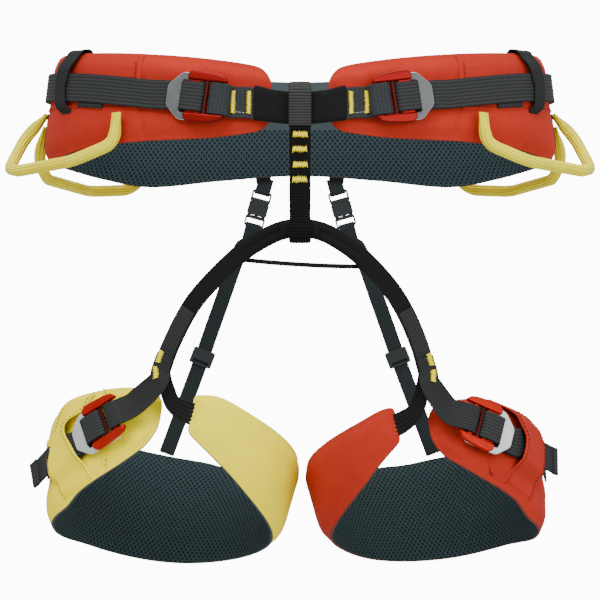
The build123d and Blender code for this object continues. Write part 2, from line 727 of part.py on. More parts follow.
# ---- all pieces ---------------------------------------------------------------------------------------
right_pieces = {
    "waist_side_panel": belt(PANEL_LAYER, panel_outline, panel_back),
    "waist_tail": belt(TAIL_LAYER, strip_outline(tail_line, WEBBING_WIDTH), strip_outline(tail_back_line, WEBBING_WIDTH)),
    "waist_keeper": waist_keeper.part,
    "waist_fold": waist_fold,
    "waist_buckle_slider": waist_slider,
    "waist_buckle_frame": waist_frame,
    "gear_loop_front": gear_loop(front_gear_route, front_gear_radii),
    "gear_loop_rear": gear_loop(rear_gear_route, rear_gear_radii),
    "rear_strap_upper": rear_strap_upper.part,
    "rear_strap_lower": rear_strap_lower.part,
    "rear_buckle_female": release_female(),
    "rear_buckle_male": release_male(),
    "rear_adjuster": rear_adjuster.part,
}
pieces = {
    "waist_shell": belt(SHELL_LAYER, waist_front.sketch, waist_back),
    "waist_foam": belt(FOAM_LAYER, waist_front.sketch, waist_back),
    "waist_lining": belt(LINING_LAYER, waist_front.sketch, waist_back),
    "waist_webbing": belt(WEBBING_LAYER, strap_front.sketch, strap_back),
    "tie_in_webbing": tie_in_webbing.part,
    "tie_in_sleeve": tie_in_sleeve.part,
    "tie_in_bartacks": joined(right_bartacks, mirrored(right_bartacks)),
    "belay_loop": belay_loop.part,
    "belay_loop_bartacks": belay_loop_bartacks.part,
    "leg_bridge_sleeve": leg_bridge_sleeve.part,
    "leg_spreader": leg_spreader.part,
    "leg_arm_right": bridge_arm(RIGHT_ARM),
    "leg_arm_left": mirrored(bridge_arm(LEFT_ARM)),
}
for name, part in right_pieces.items():
    pieces[f"{name}_right"] = part
    pieces[f"{name}_left"] = mirrored(part)
for name, part in right_leg.items():
    pieces[f"{name}_right"] = part
for name, part in left_leg.items():
    pieces[f"{name}_left"] = mirrored(part)

os.makedirs("parts", exist_ok=True)
for name, part in pieces.items():
    part.label = name
    export_step(part, f"parts/{name}.step")
for name, plane in {"waist": waist_plane, "right leg": right_leg_plane, "left leg": left_leg_plane}.items():
    print(name, "buckle", plane.origin, "along", plane.x_dir, "outward", plane.z_dir)
print("rear", rear_plane.y_dir, release_plane.origin, release_plane.y_dir, adjuster_plane.origin, adjuster_plane.y_dir)
print(len(pieces), "pieces")
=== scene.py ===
"""Detailed look model of the climbing harness. Working numbers are millimetres in the row frame.

+X is the wearer's left, -Y the front, +Z up. Right-hand pieces are drawn first; side = -1 mirrors them.
"""
import math

import bmesh
import bpy
import numpy as np
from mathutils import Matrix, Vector, noise


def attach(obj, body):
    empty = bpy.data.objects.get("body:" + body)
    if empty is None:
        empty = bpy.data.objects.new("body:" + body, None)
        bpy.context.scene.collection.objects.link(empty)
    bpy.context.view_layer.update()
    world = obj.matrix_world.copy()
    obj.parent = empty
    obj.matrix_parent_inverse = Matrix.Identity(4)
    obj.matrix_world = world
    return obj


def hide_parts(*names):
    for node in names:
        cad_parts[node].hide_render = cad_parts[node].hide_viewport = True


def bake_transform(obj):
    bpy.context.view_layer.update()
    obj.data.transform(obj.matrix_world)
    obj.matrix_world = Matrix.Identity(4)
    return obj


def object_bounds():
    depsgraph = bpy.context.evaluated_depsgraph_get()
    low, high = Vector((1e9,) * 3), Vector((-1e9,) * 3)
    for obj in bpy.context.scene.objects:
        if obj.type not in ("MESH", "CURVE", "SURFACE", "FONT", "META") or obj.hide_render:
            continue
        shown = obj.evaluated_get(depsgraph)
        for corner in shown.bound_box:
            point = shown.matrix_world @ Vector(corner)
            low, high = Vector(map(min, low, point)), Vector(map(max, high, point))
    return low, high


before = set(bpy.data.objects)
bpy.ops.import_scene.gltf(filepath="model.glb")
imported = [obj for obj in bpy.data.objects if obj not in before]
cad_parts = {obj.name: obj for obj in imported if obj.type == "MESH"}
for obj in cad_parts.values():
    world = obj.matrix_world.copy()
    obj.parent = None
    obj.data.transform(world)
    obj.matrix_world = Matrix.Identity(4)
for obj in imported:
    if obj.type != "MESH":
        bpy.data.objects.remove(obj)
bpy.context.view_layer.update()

MM = 0.001
rng = np.random.default_rng(11)
SIDES = (("right", 1), ("left", -1))
FRONT = -114                     # Y of the belay loop's middle
LOOP_TOP, LOOP_BOTTOM = 17.8, -91
STRAP = 20                       # width of the adjustable webbing
STRAP_RIB = 2.4                  # pitch of its ribs
UP_WEIGHT = 0.02                 # scale of directions that are smoothed together with a path


# ---------------------------------------------------------------------------------------------- vectors
def unit(v):
    v = np.asarray(v, float)
    return v / np.maximum(np.linalg.norm(v, axis=-1, keepdims=True), 1e-9)


def smooth_path(points, step=2.0):
    """Evenly spaced points along a Catmull-Rom curve through the given ones, in any dimension."""
    p = np.asarray(points, float)
    p = np.vstack([2 * p[0] - p[1], p, 2 * p[-1] - p[-2]])
    out = []
    for a, b, c, d in zip(p[:-3], p[1:-2], p[2:-1], p[3:]):
        t = np.linspace(0, 1, 25)[:-1, None]
        out.append(
            0.5 * (2 * b + (c - a) * t + (2 * a - 5 * b + 4 * c - d) * t**2 + (3 * b - a - 3 * c + d) * t**3)
        )
    out = np.vstack(out + [p[-2:-1]])
    along = np.concatenate([[0], np.cumsum(np.linalg.norm(np.diff(out, axis=0), axis=1))])
    n = max(3, int(round(along[-1] / step)) + 1)
    at = np.linspace(0, along[-1], n)
    return np.stack([np.interp(at, along, out[:, k]) for k in range(out.shape[1])], 1)


def lengths(path):
    return np.concatenate([[0], np.cumsum(np.linalg.norm(np.diff(path, axis=0), axis=1))])


def tangents(path):
    return unit(np.gradient(path, axis=0))


def flip(points, side):
    """Mirrors points to the wearer's left when side is -1."""
    points = np.array(points, float)
    if side < 0:
        points[..., 0] *= -1
    return points


def ripple(points, size, seed=0.0):
    """Smooth noise from -1 to 1 at each point."""
    flat = points.reshape(-1, 3)
    values = [noise.noise(Vector((*(p / size),)) + Vector((seed, seed, seed))) for p in flat]
    return np.array(values).reshape(points.shape[:-1])


# ----------------------------------------------------------------------------------------------- rings
class Ring:
    """Elliptical cone that a padded band follows. Angle 0 is its front and +90 degrees its +X side."""

    def __init__(self, origin, x_dir, z_dir, size, flare):
        self.o = np.array(origin, float)
        self.x, self.z = unit(x_dir), unit(z_dir)
        self.y = np.cross(self.z, self.x)
        self.size, self.flare = size, flare

    def at(self, angle, height, lift=0.0):
        angle, height, lift = np.broadcast_arrays(
            np.asarray(angle, float), np.asarray(height, float), np.asarray(lift, float)
        )
        a = self.size[0] + self.flare * height + lift
        b = self.size[1] + self.flare * height + lift
        return (
            self.o
            + self.x * (a * np.sin(angle))[..., None]
            - self.y * (b * np.cos(angle))[..., None]
            + self.z * height[..., None]
        )

    def angle(self, across, height=0.0):
        return np.arcsin(np.clip(across / (self.size[0] + self.flare * height), -1, 1))

    def up(self, angle, height, lift=0.0):
        height = np.asarray(height)
        return unit(self.at(angle, height + 1, lift) - self.at(angle, height - 1, lift))

    def out(self, angle, height, lift=0.0):
        angle = np.asarray(angle)
        along = self.at(angle + 0.01, height, lift) - self.at(angle - 0.01, height, lift)
        return unit(np.cross(along, self.up(angle, height, lift)))

    def plane(self, across, height, lift, turn):
        """Origin, x, y and outward axes of a plane on the ring's front, as the solids use."""
        wide, deep = self.size[0] + self.flare * height, self.size[1] + self.flare * height
        a = math.asin(across / wide)
        along = unit((wide * math.cos(a), deep * math.sin(a), 0))
        up = unit((self.flare * math.sin(a), -self.flare * math.cos(a), 1))
        out = np.cross(along, up)
        point = np.array((across, -deep * math.cos(a), height)) + out * lift
        t = math.radians(turn)
        turned = along * math.cos(t) + np.cross(out, along) * math.sin(t)
        m = np.array([self.x, self.y, self.z])
        z = unit(out @ m)
        x = turned @ m
        x = unit(x - z * (x @ z))
        return Plane(self.o + point @ m, x, z)


class Plane:
    def __init__(self, origin, x, z):
        self.o, self.x, self.z = np.array(origin, float), unit(x), unit(z)
        self.y = np.cross(self.z, self.x)

    def point(self, p):
        p = np.atleast_2d(np.asarray(p, float))
        if p.shape[1] == 2:
            p = np.hstack([p, np.zeros((len(p), 1))])
        return self.o + p[:, :1] * self.x + p[:, 1:2] * self.y + p[:, 2:3] * self.z


def leg_ring(centre, size, tilt):
    t = math.radians(tilt)
    return Ring(
        (centre[0], 0, centre[1]), (1, 0, -0.155 / math.cos(t)), (0.155, math.sin(t), math.cos(t)), size, 0.14
    )


WAIST = Ring((0, 0, 0), (1, 0, 0), (0, 0, 1), (180, 110), -0.12)
LEGS = {
    "right": leg_ring((-91.7, -250), (89, 87), 25),
    "left": leg_ring((-90.6, -254), (84.5, 85), 21),
}
STRAP_SLOPE = 0.12
STRAP_FALL = -math.degrees(math.atan(STRAP_SLOPE))
WAIST_BUCKLE = WAIST.plane(-70, 7.5, 5, STRAP_FALL)
LEG_BUCKLE = {"right": LEGS["right"].plane(-50, -9, 5, 27), "left": LEGS["left"].plane(-42, 1, 5, 22)}


# -------------------------------------------------------------------------------------------- materials
class Shader:
    """Node tree of one material, with short ways to wire numbers."""

    def __init__(self, name):
        self.material = bpy.data.materials.new(name)
        self.material.use_nodes = True
        self.tree = self.material.node_tree
        self.tree.nodes.clear()
        self.out = self.tree.nodes.new("ShaderNodeOutputMaterial")
        self.body = self.tree.nodes.new("ShaderNodeBsdfPrincipled")
        self.tree.links.new(self.body.outputs[0], self.out.inputs[0])

    def plug(self, socket, value):
        if isinstance(value, bpy.types.NodeSocket):
            self.tree.links.new(value, socket)
        elif isinstance(value, (tuple, list)) and len(value) == 3 and socket.type == "RGBA":
            socket.default_value = (*value, 1)
        else:
            socket.default_value = value

    def node(self, kind, **inputs):
        n = self.tree.nodes.new(kind)
        for key, value in inputs.items():
            self.plug(n.inputs[key.replace("_", " ")], value)
        return n

    def math(self, operation, a, b=0.0):
        n = self.tree.nodes.new("ShaderNodeMath")
        n.operation = operation
        self.plug(n.inputs[0], a)
        self.plug(n.inputs[1], b)
        return n.outputs[0]

    def total(self, *terms):
        """Sum of (value, weight) pairs."""
        result = None
        for value, weight in terms:
            value = value if weight == 1 else self.math("MULTIPLY", value, weight)
            result = value if result is None else self.math("ADD", result, value)
        return result

    def uv(self):
        n = self.tree.nodes.new("ShaderNodeUVMap")
        n.uv_map = "UVMap"
        s = self.node("ShaderNodeSeparateXYZ", Vector=n.outputs[0])
        return s.outputs[0], s.outputs[1]

    def wave(self, value, pitch, shift=0.0):
        return self.math("SINE", self.math("ADD", self.math("MULTIPLY", value, 2 * math.pi / pitch), shift))

    def ramp(self, value, low, high):
        n = self.tree.nodes.new("ShaderNodeMapRange")
        n.interpolation_type = "SMOOTHSTEP"
        self.plug(n.inputs[0], value)
        n.inputs[1].default_value, n.inputs[2].default_value = low, high
        return n.outputs[0]

    def mix(self, factor, a, b):
        n = self.tree.nodes.new("ShaderNodeMix")
        n.data_type = "RGBA"
        self.plug(n.inputs[0], factor)
        self.plug(n.inputs[6], a)
        self.plug(n.inputs[7], b)
        return n.outputs[2]

    def noise(self, size, detail=3.0):
        coordinates = self.tree.nodes.new("ShaderNodeTexCoord")
        place = coordinates.outputs["Object"]
        n = self.node("ShaderNodeTexNoise", Vector=place, Scale=1 / (size * MM), Detail=detail)
        return n.outputs[0]

    def bump(self, height, depth, strength=1.0):
        n = self.node("ShaderNodeBump", Height=height, Distance=depth * MM, Strength=strength)
        self.plug(self.body.inputs["Normal"], n.outputs[0])

    def set(self, **values):
        for key, value in values.items():
            self.plug(self.body.inputs[key.replace("_", " ")], value)


def shade(colour, factor):
    return tuple(min(1, c * factor) for c in colour)


def fabric(name, colour, contrast=0.82):
    """Smooth stretch-woven shell cloth with a fine twill and faint soil variation."""
    s = Shader(name)
    u, v = s.uv()
    twill = s.wave(s.math("ADD", u, s.math("MULTIPLY", v, 0.8)), 0.9)
    rows = s.wave(v, 0.7)
    grain = s.noise(1.1, 4)
    patch = s.noise(28, 2)
    soil = s.ramp(s.total((grain, 0.5), (patch, 0.5)), 0.3, 0.7)
    s.set(Base_Color=s.mix(soil, shade(colour, contrast), colour), Roughness=0.8, Specular_IOR_Level=0.12)
    s.bump(s.total((twill, 0.35), (rows, 0.2), (grain, 1)), 0.10, 0.5)
    return s.material


HOLE_PITCH, HOLE_ROW = 4.0, 2.35  # along a row and from row to row
PLAIN_STRIP = (0.05, 0.065, 0.07)


def mesh_cloth(name, colour, hole, seam_height=None):
    """Spacer mesh: rows of oval holes, each row half a pitch along, coloured as the cloth seen through them
    deepened by painted shade. Above the seam it is plain cloth.
    """
    s = Shader(name)
    u, v = s.uv()
    columns = s.math("COSINE", s.math("MULTIPLY", u, 2 * math.pi / HOLE_PITCH))
    rows = s.math("COSINE", s.math("MULTIPLY", v, math.pi / HOLE_ROW))
    cells = s.math("MULTIPLY", columns, rows)
    open_part = s.ramp(cells, 0.12, 0.6)
    ridge = s.math("SUBTRACT", 1.0, open_part)
    yarn = s.noise(0.7, 3)
    # the hole colour: cloth seen through each hole, darkened with painted shade inside it
    colours = s.mix(open_part, s.mix(yarn, shade(colour, 0.75), shade(colour, 1.2)), hole)
    height = s.total((ridge, 1), (yarn, 0.25))
    if seam_height is not None:
        above = s.ramp(v, seam_height - 0.2, seam_height + 0.2)
        colours = s.mix(above, colours, PLAIN_STRIP)
        height = s.math("ADD", s.math("MULTIPLY", height, s.math("SUBTRACT", 1.0, above)), above)
    s.set(Base_Color=colours, Roughness=0.9, Specular_IOR_Level=0.1)
    s.bump(height, 0.55, 0.9)
    return s.material


def webbing(name, colour, rib=STRAP_RIB, pick=1.0, depth=0.22, checks=True):
    """Woven strap: ribs along it, picks across it that alternate from rib to rib. Its colour follows the
    weave's height, with painted shade in the hollows and painted highlight on the crests.
    """
    s = Shader(name)
    u, v = s.uv()
    ribs = s.math("ABSOLUTE", s.wave(v, 2 * rib))
    count = s.math("FLOOR", s.math("ADD", s.math("DIVIDE", v, rib), 40.0))
    turn = s.math("MULTIPLY", s.math("MODULO", count, 2.0), math.pi if checks else 0.0)
    weave = s.math("SINE", s.math("ADD", s.math("MULTIPLY", u, math.pi / pick), turn))
    picks = s.math("ADD", s.math("MULTIPLY", weave, 0.5), 0.5)
    yarn = s.noise(0.5, 2)
    height = s.total((ribs, 0.7), (picks, 0.35), (yarn, 0.2))
    # painted shade and highlight: colour darkened in the weave's hollows and lightened on its crests
    painted_relief_shading = s.ramp(height, 0.25, 1.0)
    colours = s.mix(painted_relief_shading, shade(colour, 0.55), shade(colour, 1.25))
    s.set(Base_Color=colours, Roughness=0.75, Specular_IOR_Level=0.12)
    s.bump(height, depth, 0.8)
    return s.material


def ribbed(name, colour, pitch=1.85, depth=0.5):
    """Cloth with ribs across the strap, as on elastic or on a loop's cover, with painted shade in the troughs
    between the ribs.
    """
    s = Shader(name)
    ribs = s.math("ADD", s.math("MULTIPLY", s.wave(s.uv()[0], pitch), 0.5), 0.5)
    yarn = s.noise(0.6, 3)
    # painted shade: the troughs between the ribs are darkened to 0.4 of the colour
    painted_relief_shading = s.mix(s.ramp(ribs, 0.1, 0.8), shade(colour, 0.4), colour)
    s.set(Base_Color=painted_relief_shading, Roughness=0.8, Specular_IOR_Level=0.1)
    s.bump(s.total((ribs, 1), (yarn, 0.3)), depth, 0.8)
    return s.material


def metal(name, colour, rough):
    """Anodised aluminium with a fine blasted grain."""
    s = Shader(name)
    grain = s.noise(0.35, 4)
    smear = s.noise(9, 3)
    s.set(
        Base_Color=s.mix(s.ramp(smear, 0.35, 0.7), colour, shade(colour, 1.15)),
        Metallic=0.85,
        Roughness=s.math("ADD", rough, s.math("MULTIPLY", smear, 0.12)),
    )
    s.bump(grain, 0.02, 0.3)
    return s.material


def plastic(name, colour, rough=0.45, ridge_pitch=None):
    """Moulded plastic; a pitch gives fine ridges round a tube, with painted shade in the grooves between
    them.
    """
    s = Shader(name)
    grain = s.noise(0.8, 3)
    patch = s.noise(14, 2)
    base = s.mix(s.ramp(patch, 0.3, 0.7), shade(colour, 0.88), colour)
    if ridge_pitch:
        u, v = s.uv()
        lines = s.math("ADD", s.math("MULTIPLY", s.wave(v, ridge_pitch), 0.5), 0.5)
        # painted shade: the grooves between the ridges are darkened to 0.6 of the colour
        base = s.mix(s.ramp(lines, 0.0, 0.55), shade(colour, 0.6), base)
        s.bump(s.total((lines, 1), (s.wave(u, 0.9), 0.12), (grain, 0.1)), 0.35, 0.8)
    else:
        s.bump(grain, 0.05, 0.4)
    s.set(Base_Color=base, Roughness=rough, Specular_IOR_Level=0.25)
    return s.material


def thread(name, colour):
    """Glossy sewing thread with fine strands."""
    s = Shader(name)
    strands = s.noise(0.25, 2)
    s.set(Base_Color=s.mix(strands, shade(colour, 0.7), colour), Roughness=0.5, Specular_IOR_Level=0.25)
    s.bump(strands, 0.08, 0.6)
    return s.material


RED, YELLOW = (0.41, 0.023, 0.011), (0.96, 0.80, 0.002)
MAT = {
    "shell_red": fabric("Shell cloth red", RED),
    "shell_yellow": fabric("Shell cloth yellow", YELLOW, 0.88),
    "edge_red": fabric("Bound edge red", (0.16, 0.04, 0.028)),
    "edge_yellow": fabric("Bound edge grey", (0.06, 0.07, 0.07)),
    # the second colour given to each spacer mesh is its holes': the cloth beneath, darkened with painted
    # shade
    "lining_waist": mesh_cloth("Spacer mesh waist", (0.036, 0.0576, 0.064), (0.0064, 0.0112, 0.0136), -1.6),
    "lining_leg": mesh_cloth("Spacer mesh leg", (0.0256, 0.0416, 0.0448), (0.0048, 0.0088, 0.0096)),
    "webbing": webbing("Webbing grey", (0.0232, 0.0248, 0.0256)),
    "tie_in": webbing("Webbing tie-in", (0.024, 0.0272, 0.0288), rib=1.3, pick=1.3, checks=False),
    "arm": webbing("Webbing arm", (0.0192, 0.0208, 0.0208), rib=2.0, pick=1.0),
    "black": webbing("Webbing black", (0.0068, 0.0072, 0.0072), rib=1.6, pick=1.1),
    "fan": webbing("Webbing fan", (0.008, 0.0088, 0.0088), rib=3.0, pick=1.2, depth=0.5, checks=False),
    "rear": webbing("Strap rear", (0.016, 0.0208, 0.0224), rib=1.4, pick=0.9, depth=0.15),
    "cover": ribbed("Ribbed cover", (0.04, 0.0424, 0.0408)),
    "loop": ribbed("Belay loop webbing", (0.004, 0.004, 0.00384), 1.9, 0.35),
    "elastic": ribbed("Elastic keeper", (0.0208, 0.0232, 0.024), 1.2, 0.2),
    "sleeve": fabric("Sleeve black", (0.0052, 0.00544, 0.0052)),
    "thread": thread("Bar tack thread", (0.95, 0.78, 0.002)),
    "thread_white": thread("Marker thread", (0.7, 0.72, 0.72)),
    "thread_dark": thread("Seam thread dark", (0.024, 0.028, 0.0288)),
    "thread_red": thread("Seam thread red", (0.104, 0.0064, 0.004)),
    "thread_gold": thread("Seam thread yellow", (0.36, 0.22, 0.003)),
    "plate": metal("Plate grey", (0.08, 0.084, 0.0864), 0.36),
    "plate_rim": metal("Plate rim", (0.496, 0.504, 0.512), 0.3),
    "plate_leg": metal("Plate silver", (0.496, 0.52, 0.52), 0.34),
    "slider": metal("Anodised red", (0.16, 0.0016, 0.0008), 0.26),
    # darker copy of the anodised red for the middle bar: painted shade of the gap it sits in
    "slider_painted_shade": metal("Anodised red painted shade", (0.056, 0.0048, 0.0032), 0.4),
    "slider_leg": metal("Anodised red leg", (0.36, 0.0096, 0.0024), 0.3),
    "gear": plastic("Gear loop yellow", (0.95, 0.82, 0.002), 0.5, ridge_pitch=1.9),
    "trim": plastic("Moulded trim", (0.0152, 0.02, 0.0216), 0.4),
}


# --------------------------------------------------------------------------------------------- geometry
def tidy(name):
    """A piece name of plain letters."""
    return name.lower().replace(" ", "_")


def make(name, verts, faces, mats, uvs, face_mats=None):
    """A closed smooth mesh from millimetres, with its normals turned outwards."""
    mesh = bpy.data.meshes.new(name)
    mesh.from_pydata((np.asarray(verts) * MM).tolist(), [], faces)
    layer = mesh.uv_layers.new(name="UVMap")
    layer.data.foreach_set("uv", np.asarray(uvs, np.float32).ravel())
    for m in mats:
        mesh.materials.append(MAT[m])
    if face_mats is not None:
        mesh.polygons.foreach_set("material_index", np.asarray(face_mats, np.int32))
    tools = bmesh.new()
    tools.from_mesh(mesh)
    bmesh.ops.recalc_face_normals(tools, faces=tools.faces)
    tools.to_mesh(mesh)
    tools.free()
    mesh.polygons.foreach_set("use_smooth", np.ones(len(mesh.polygons), bool))
    obj = bpy.data.objects.new(tidy(name), mesh)
    bpy.context.scene.collection.objects.link(obj)
    return obj


def skin(rings, u, v, closed=False, row_mats=None):
    """Faces, corner UVs and face materials through rings[n, m, 3] of closed sections."""
    n, m = rings.shape[:2]
    i, j = np.meshgrid(np.arange(n if closed else n - 1), np.arange(m), indexing="ij")
    k, l = (i + 1) % n, (j + 1) % m
    faces = np.stack([i * m + j, k * m + j, k * m + l, i * m + l], -1).reshape(-1, 4)
    uvs = np.stack(
        [np.stack([u[a], v[b]], -1) for a, b in ((i, j), (i + 1, j), (i + 1, j + 1), (i, j + 1))], -2
    ).reshape(-1, 2)
    mats = np.zeros(len(faces), int) if row_mats is None else np.tile(row_mats, len(i))
    return faces, uvs, mats


def loft(name, rings, mats, v=None, side=1, closed=False, row_mats=None):
    """Closed skin through sections, with a flat cap on each end. v is each section point's UV height."""
    rings = flip(rings, side)
    n, m = rings.shape[:2]
    middle = rings.mean(1)
    u = lengths(np.vstack([middle, middle[:1]]) if closed else middle)
    if v is None:
        ring = rings[n // 2]
        v = lengths(np.vstack([ring, ring[:1]]))
    else:
        v = np.append(v, v[0])
    faces, uvs, face_mats = skin(rings, u, v, closed, row_mats)
    verts = rings.reshape(-1, 3)
    faces, face_mats = faces.tolist(), face_mats.tolist()
    if not closed:
        for end, at in ((0, 0), (n - 1, -1)):
            centre = len(verts)
            verts = np.vstack([verts, rings[end].mean(0)])
            for j in range(m):
                faces.append([end * m + j, end * m + (j + 1) % m, centre])
                face_mats.append(face_mats[j])
            flat = np.stack([np.full(m + 1, u[at]), v], -1)
            cap = np.stack([flat[:-1], flat[1:], (flat[:-1] + flat[1:]) / 2], 1).reshape(-1, 2)
            uvs = np.vstack([uvs, cap])
    return make(name, verts, faces, mats, uvs, face_mats)


def strap_section(width, thick, rib=0.0, depth=0.0):
    """Flat strap's section: outer face from edge to edge and back along the inner one."""
    half, r = width / 2, thick / 2
    n = int(max(5, round(width / (rib / 6 if rib else 1.6))))
    middle = np.linspace(-half + 1.3 * r, half - 1.3 * r, n)
    edge = np.array([-half, -half + 0.22 * r, -half + 0.65 * r])
    rise = np.array([0.28, 0.68, 0.93]) * r
    top = r - (depth * (0.5 + 0.5 * np.cos(2 * np.pi * middle / rib)) if rib else 0 * middle)
    a = np.concatenate([edge, middle, -edge[::-1]])
    b = np.concatenate([rise, top, rise[::-1]])
    return np.vstack([np.stack([a, b], 1), np.stack([a[::-1], -b[::-1]], 1)])


def frames(path, across, closed=False):
    """Unit directions across and out of a strap along its path."""
    if closed:
        t = unit(np.roll(path, -1, 0) - np.roll(path, 1, 0))
    else:
        t = tangents(path)
    across = np.broadcast_to(across, path.shape)
    a = unit(across - t * (across * t).sum(1, keepdims=True))
    return a, np.cross(t, a)


def ribbon(name, path, across, width, thick, mat, rib=0.0, depth=0.0, side=1, closed=False, wave=0.0):
    """Flat strap along a path. across points along its width. wave is a slight sway of its faces."""
    a, o = frames(path, across, closed)
    width = np.broadcast_to(width, len(path)).astype(float)
    s = strap_section(width.max(), thick, rib, depth)
    scale = (width / width.max())[:, None]
    sway = wave * ripple(path, 23, 3.0)[:, None] if wave else 0
    wide, lift = s[:, 0] * scale, s[:, 1] + sway
    rings = path[:, None] + a[:, None] * wide[..., None] + o[:, None] * lift[..., None]
    return loft(name, rings, [mat], s[:, 0], side, closed)


def tube(name, path, radius, mat, side=1, sides=12, out=(0, -1, 0.02)):
    """Round cord along a path; radius may vary along it."""
    a, o = frames(path, np.asarray(out, float))
    phi = np.linspace(0, 2 * np.pi, sides, endpoint=False)
    r = np.broadcast_to(radius, len(path))[:, None, None]
    rings = path[:, None] + r * (a[:, None] * np.cos(phi)[:, None] + o[:, None] * np.sin(phi)[:, None])
    return loft(name, rings, [mat], None, side)


def merge(name, objects):
    """Several meshes as one object."""
    bpy.context.view_layer.update()
    tools = bmesh.new()
    mats = []
    for obj in objects:
        first = len(tools.faces)
        tools.from_mesh(obj.data)
        tools.faces.ensure_lookup_table()
        slots = []
        for m in obj.data.materials:
            if m not in mats:
                mats.append(m)
            slots.append(mats.index(m))
        for f in tools.faces[first:]:
            f.material_index = slots[min(f.material_index, len(slots) - 1)]
    mesh = bpy.data.meshes.new(name)
    for m in mats:
        mesh.materials.append(m)
    tools.to_mesh(mesh)
    tools.free()
    for obj in objects:
        bpy.data.objects.remove(obj)
    result = bpy.data.objects.new(tidy(name), mesh)
    bpy.context.scene.collection.objects.link(result)
    return result


def subdivided(obj):
    m = obj.modifiers.new("Smooth", "SUBSURF")
    m.levels = m.render_levels = 1


STITCH = ((-0.5, 0.35, -0.2), (-0.3, 0.9, 0.12), (0, 1, 0.2), (0.3, 0.9, 0.12), (0.5, 0.35, -0.2))
STITCH_SIDES = 6


def stitches(name, path, out, mat, side=1, length=2.1, pitch=3.0, radius=0.3):
    """Row of sewn stitches, each a short thread that dips at both ends."""
    along = lengths(path)
    count = max(1, int(along[-1] / pitch))
    phi = np.linspace(0, 2 * np.pi, STITCH_SIDES, endpoint=False)
    verts, faces = [], []
    t = tangents(path)
    for k in range(count):
        at = along[-1] * (k + 0.5) / count
        p, d, o = (np.array([np.interp(at, along, v[:, i]) for i in range(3)]) for v in (path, t, out))
        d, o = unit(d), unit(o)
        b = np.cross(d, o)
        base = len(verts)
        for s, r, rise in STITCH:
            centre = p + d * s * length + o * rise
            verts.extend(centre + radius * r * (b * math.cos(f) + o * math.sin(f)) for f in phi)
        n, last = STITCH_SIDES, base + STITCH_SIDES * (len(STITCH) - 1)
        for q in range(base, last, n):
            faces.extend([q + j, q + n + j, q + n + (j + 1) % n, q + (j + 1) % n] for j in range(n))
        faces.append([base + j for j in range(n)])
        faces.append([last + j for j in reversed(range(n))])
    total = sum(len(f) for f in faces)
    return make(name, flip(verts, side), faces, [mat], np.zeros((total, 2)))


TACK_PITCH, TACK_RADIUS = 1.2, 0.4


def bartack(plane, centre, length, width, side=1):
    """Dense zigzag of thread along the plane's x axis."""
    count = int(length / TACK_PITCH)
    x = np.linspace(-length / 2, length / 2, 2 * count + 1)
    y = np.where(np.arange(len(x)) % 2, 1, -1) * width / 2 * (1 + 0.10 * rng.standard_normal(len(x)))
    fine = np.linspace(0, len(x) - 1, (len(x) - 1) * 4 + 1)
    xs, ys = np.interp(fine, np.arange(len(x)), x), np.interp(fine, np.arange(len(x)), y)
    crown = 0.35 * (1 - (2 * ys / width) ** 2)
    local = np.stack([xs + centre[0], ys + centre[1], np.full(len(xs), centre[2]) + crown], 1)
    return tube("Tack", plane.point(local), TACK_RADIUS, "thread", side, 6, out=plane.z)


def arc_between(start, corner, end, steps):
    """Points of a curve that rounds off a corner."""
    return [(1 - s) ** 2 * start + 2 * s * (1 - s) * corner + s * s * end for s in np.linspace(0, 1, steps)]


def rounded_polygon(points, radii):
    """Outline with each corner replaced by an arc."""
    points = np.asarray(points, float)
    out = []
    for k, p in enumerate(points):
        a, b = points[k - 1], points[(k + 1) % len(points)]
        da, db = unit(a - p), unit(b - p)
        angle = math.acos(float(np.clip(da @ db, -1, 1)))
        room = 0.48 * np.linalg.norm(a - p), 0.48 * np.linalg.norm(b - p)
        reach = min(radii[k] / math.tan(angle / 2), *room)
        out += arc_between(p + da * reach, p, p + db * reach, 5)
    return np.array(out)


def slab(name, plane, outlines, low, high, bevel, mats, side=1):
    """Plate with rounded rims between two heights above a plane.

    The first outline is its edge and the others are holes.
    """
    curve = bpy.data.curves.new(name, "CURVE")
    curve.dimensions = "2D"
    curve.fill_mode = "BOTH"
    curve.extrude = ((high - low) / 2 - bevel) * MM
    curve.bevel_depth = bevel * MM
    curve.bevel_resolution = 3
    curve.offset = -bevel * MM
    for outline in outlines:
        spline = curve.splines.new("POLY")
        spline.points.add(len(outline) - 1)
        for point, (x, y) in zip(spline.points, outline):
            point.co = (x * MM, y * MM, 0, 1)
        spline.use_cyclic_u = True
    holder = bpy.data.objects.new(name, curve)
    bpy.context.scene.collection.objects.link(holder)
    bpy.context.view_layer.update()
    mesh = bpy.data.meshes.new_from_object(holder)
    bpy.data.objects.remove(holder)
    local = np.array([v.co for v in mesh.vertices]) / MM
    local[:, 2] += (low + high) / 2
    world = flip(plane.point(local), side) * MM
    mesh.vertices.foreach_set("co", world.ravel())
    mesh.materials.clear()
    for m in mats:
        mesh.materials.append(MAT[m])
    tools = bmesh.new()
    tools.from_mesh(mesh)
    bmesh.ops.remove_doubles(tools, verts=tools.verts, dist=0.00001)
    bmesh.ops.recalc_face_normals(tools, faces=tools.faces)
    axis = Vector(flip(plane.z, side))
    for f in tools.faces:
        f.smooth = True
        f.material_index = 0 if abs(f.normal.dot(axis)) > 0.96 or len(mats) == 1 else 1
    tools.to_mesh(mesh)
    tools.free()
    if not mesh.uv_layers:
        mesh.uv_layers.new(name="UVMap")
    mesh.uv_layers[0].name = "UVMap"
    obj = bpy.data.objects.new(tidy(name), mesh)
    bpy.context.scene.collection.objects.link(obj)
    if mesh.polygons:
        sharp = obj.modifiers.new("Flat faces", "WEIGHTED_NORMAL")
        sharp.keep_sharp = False
    return obj


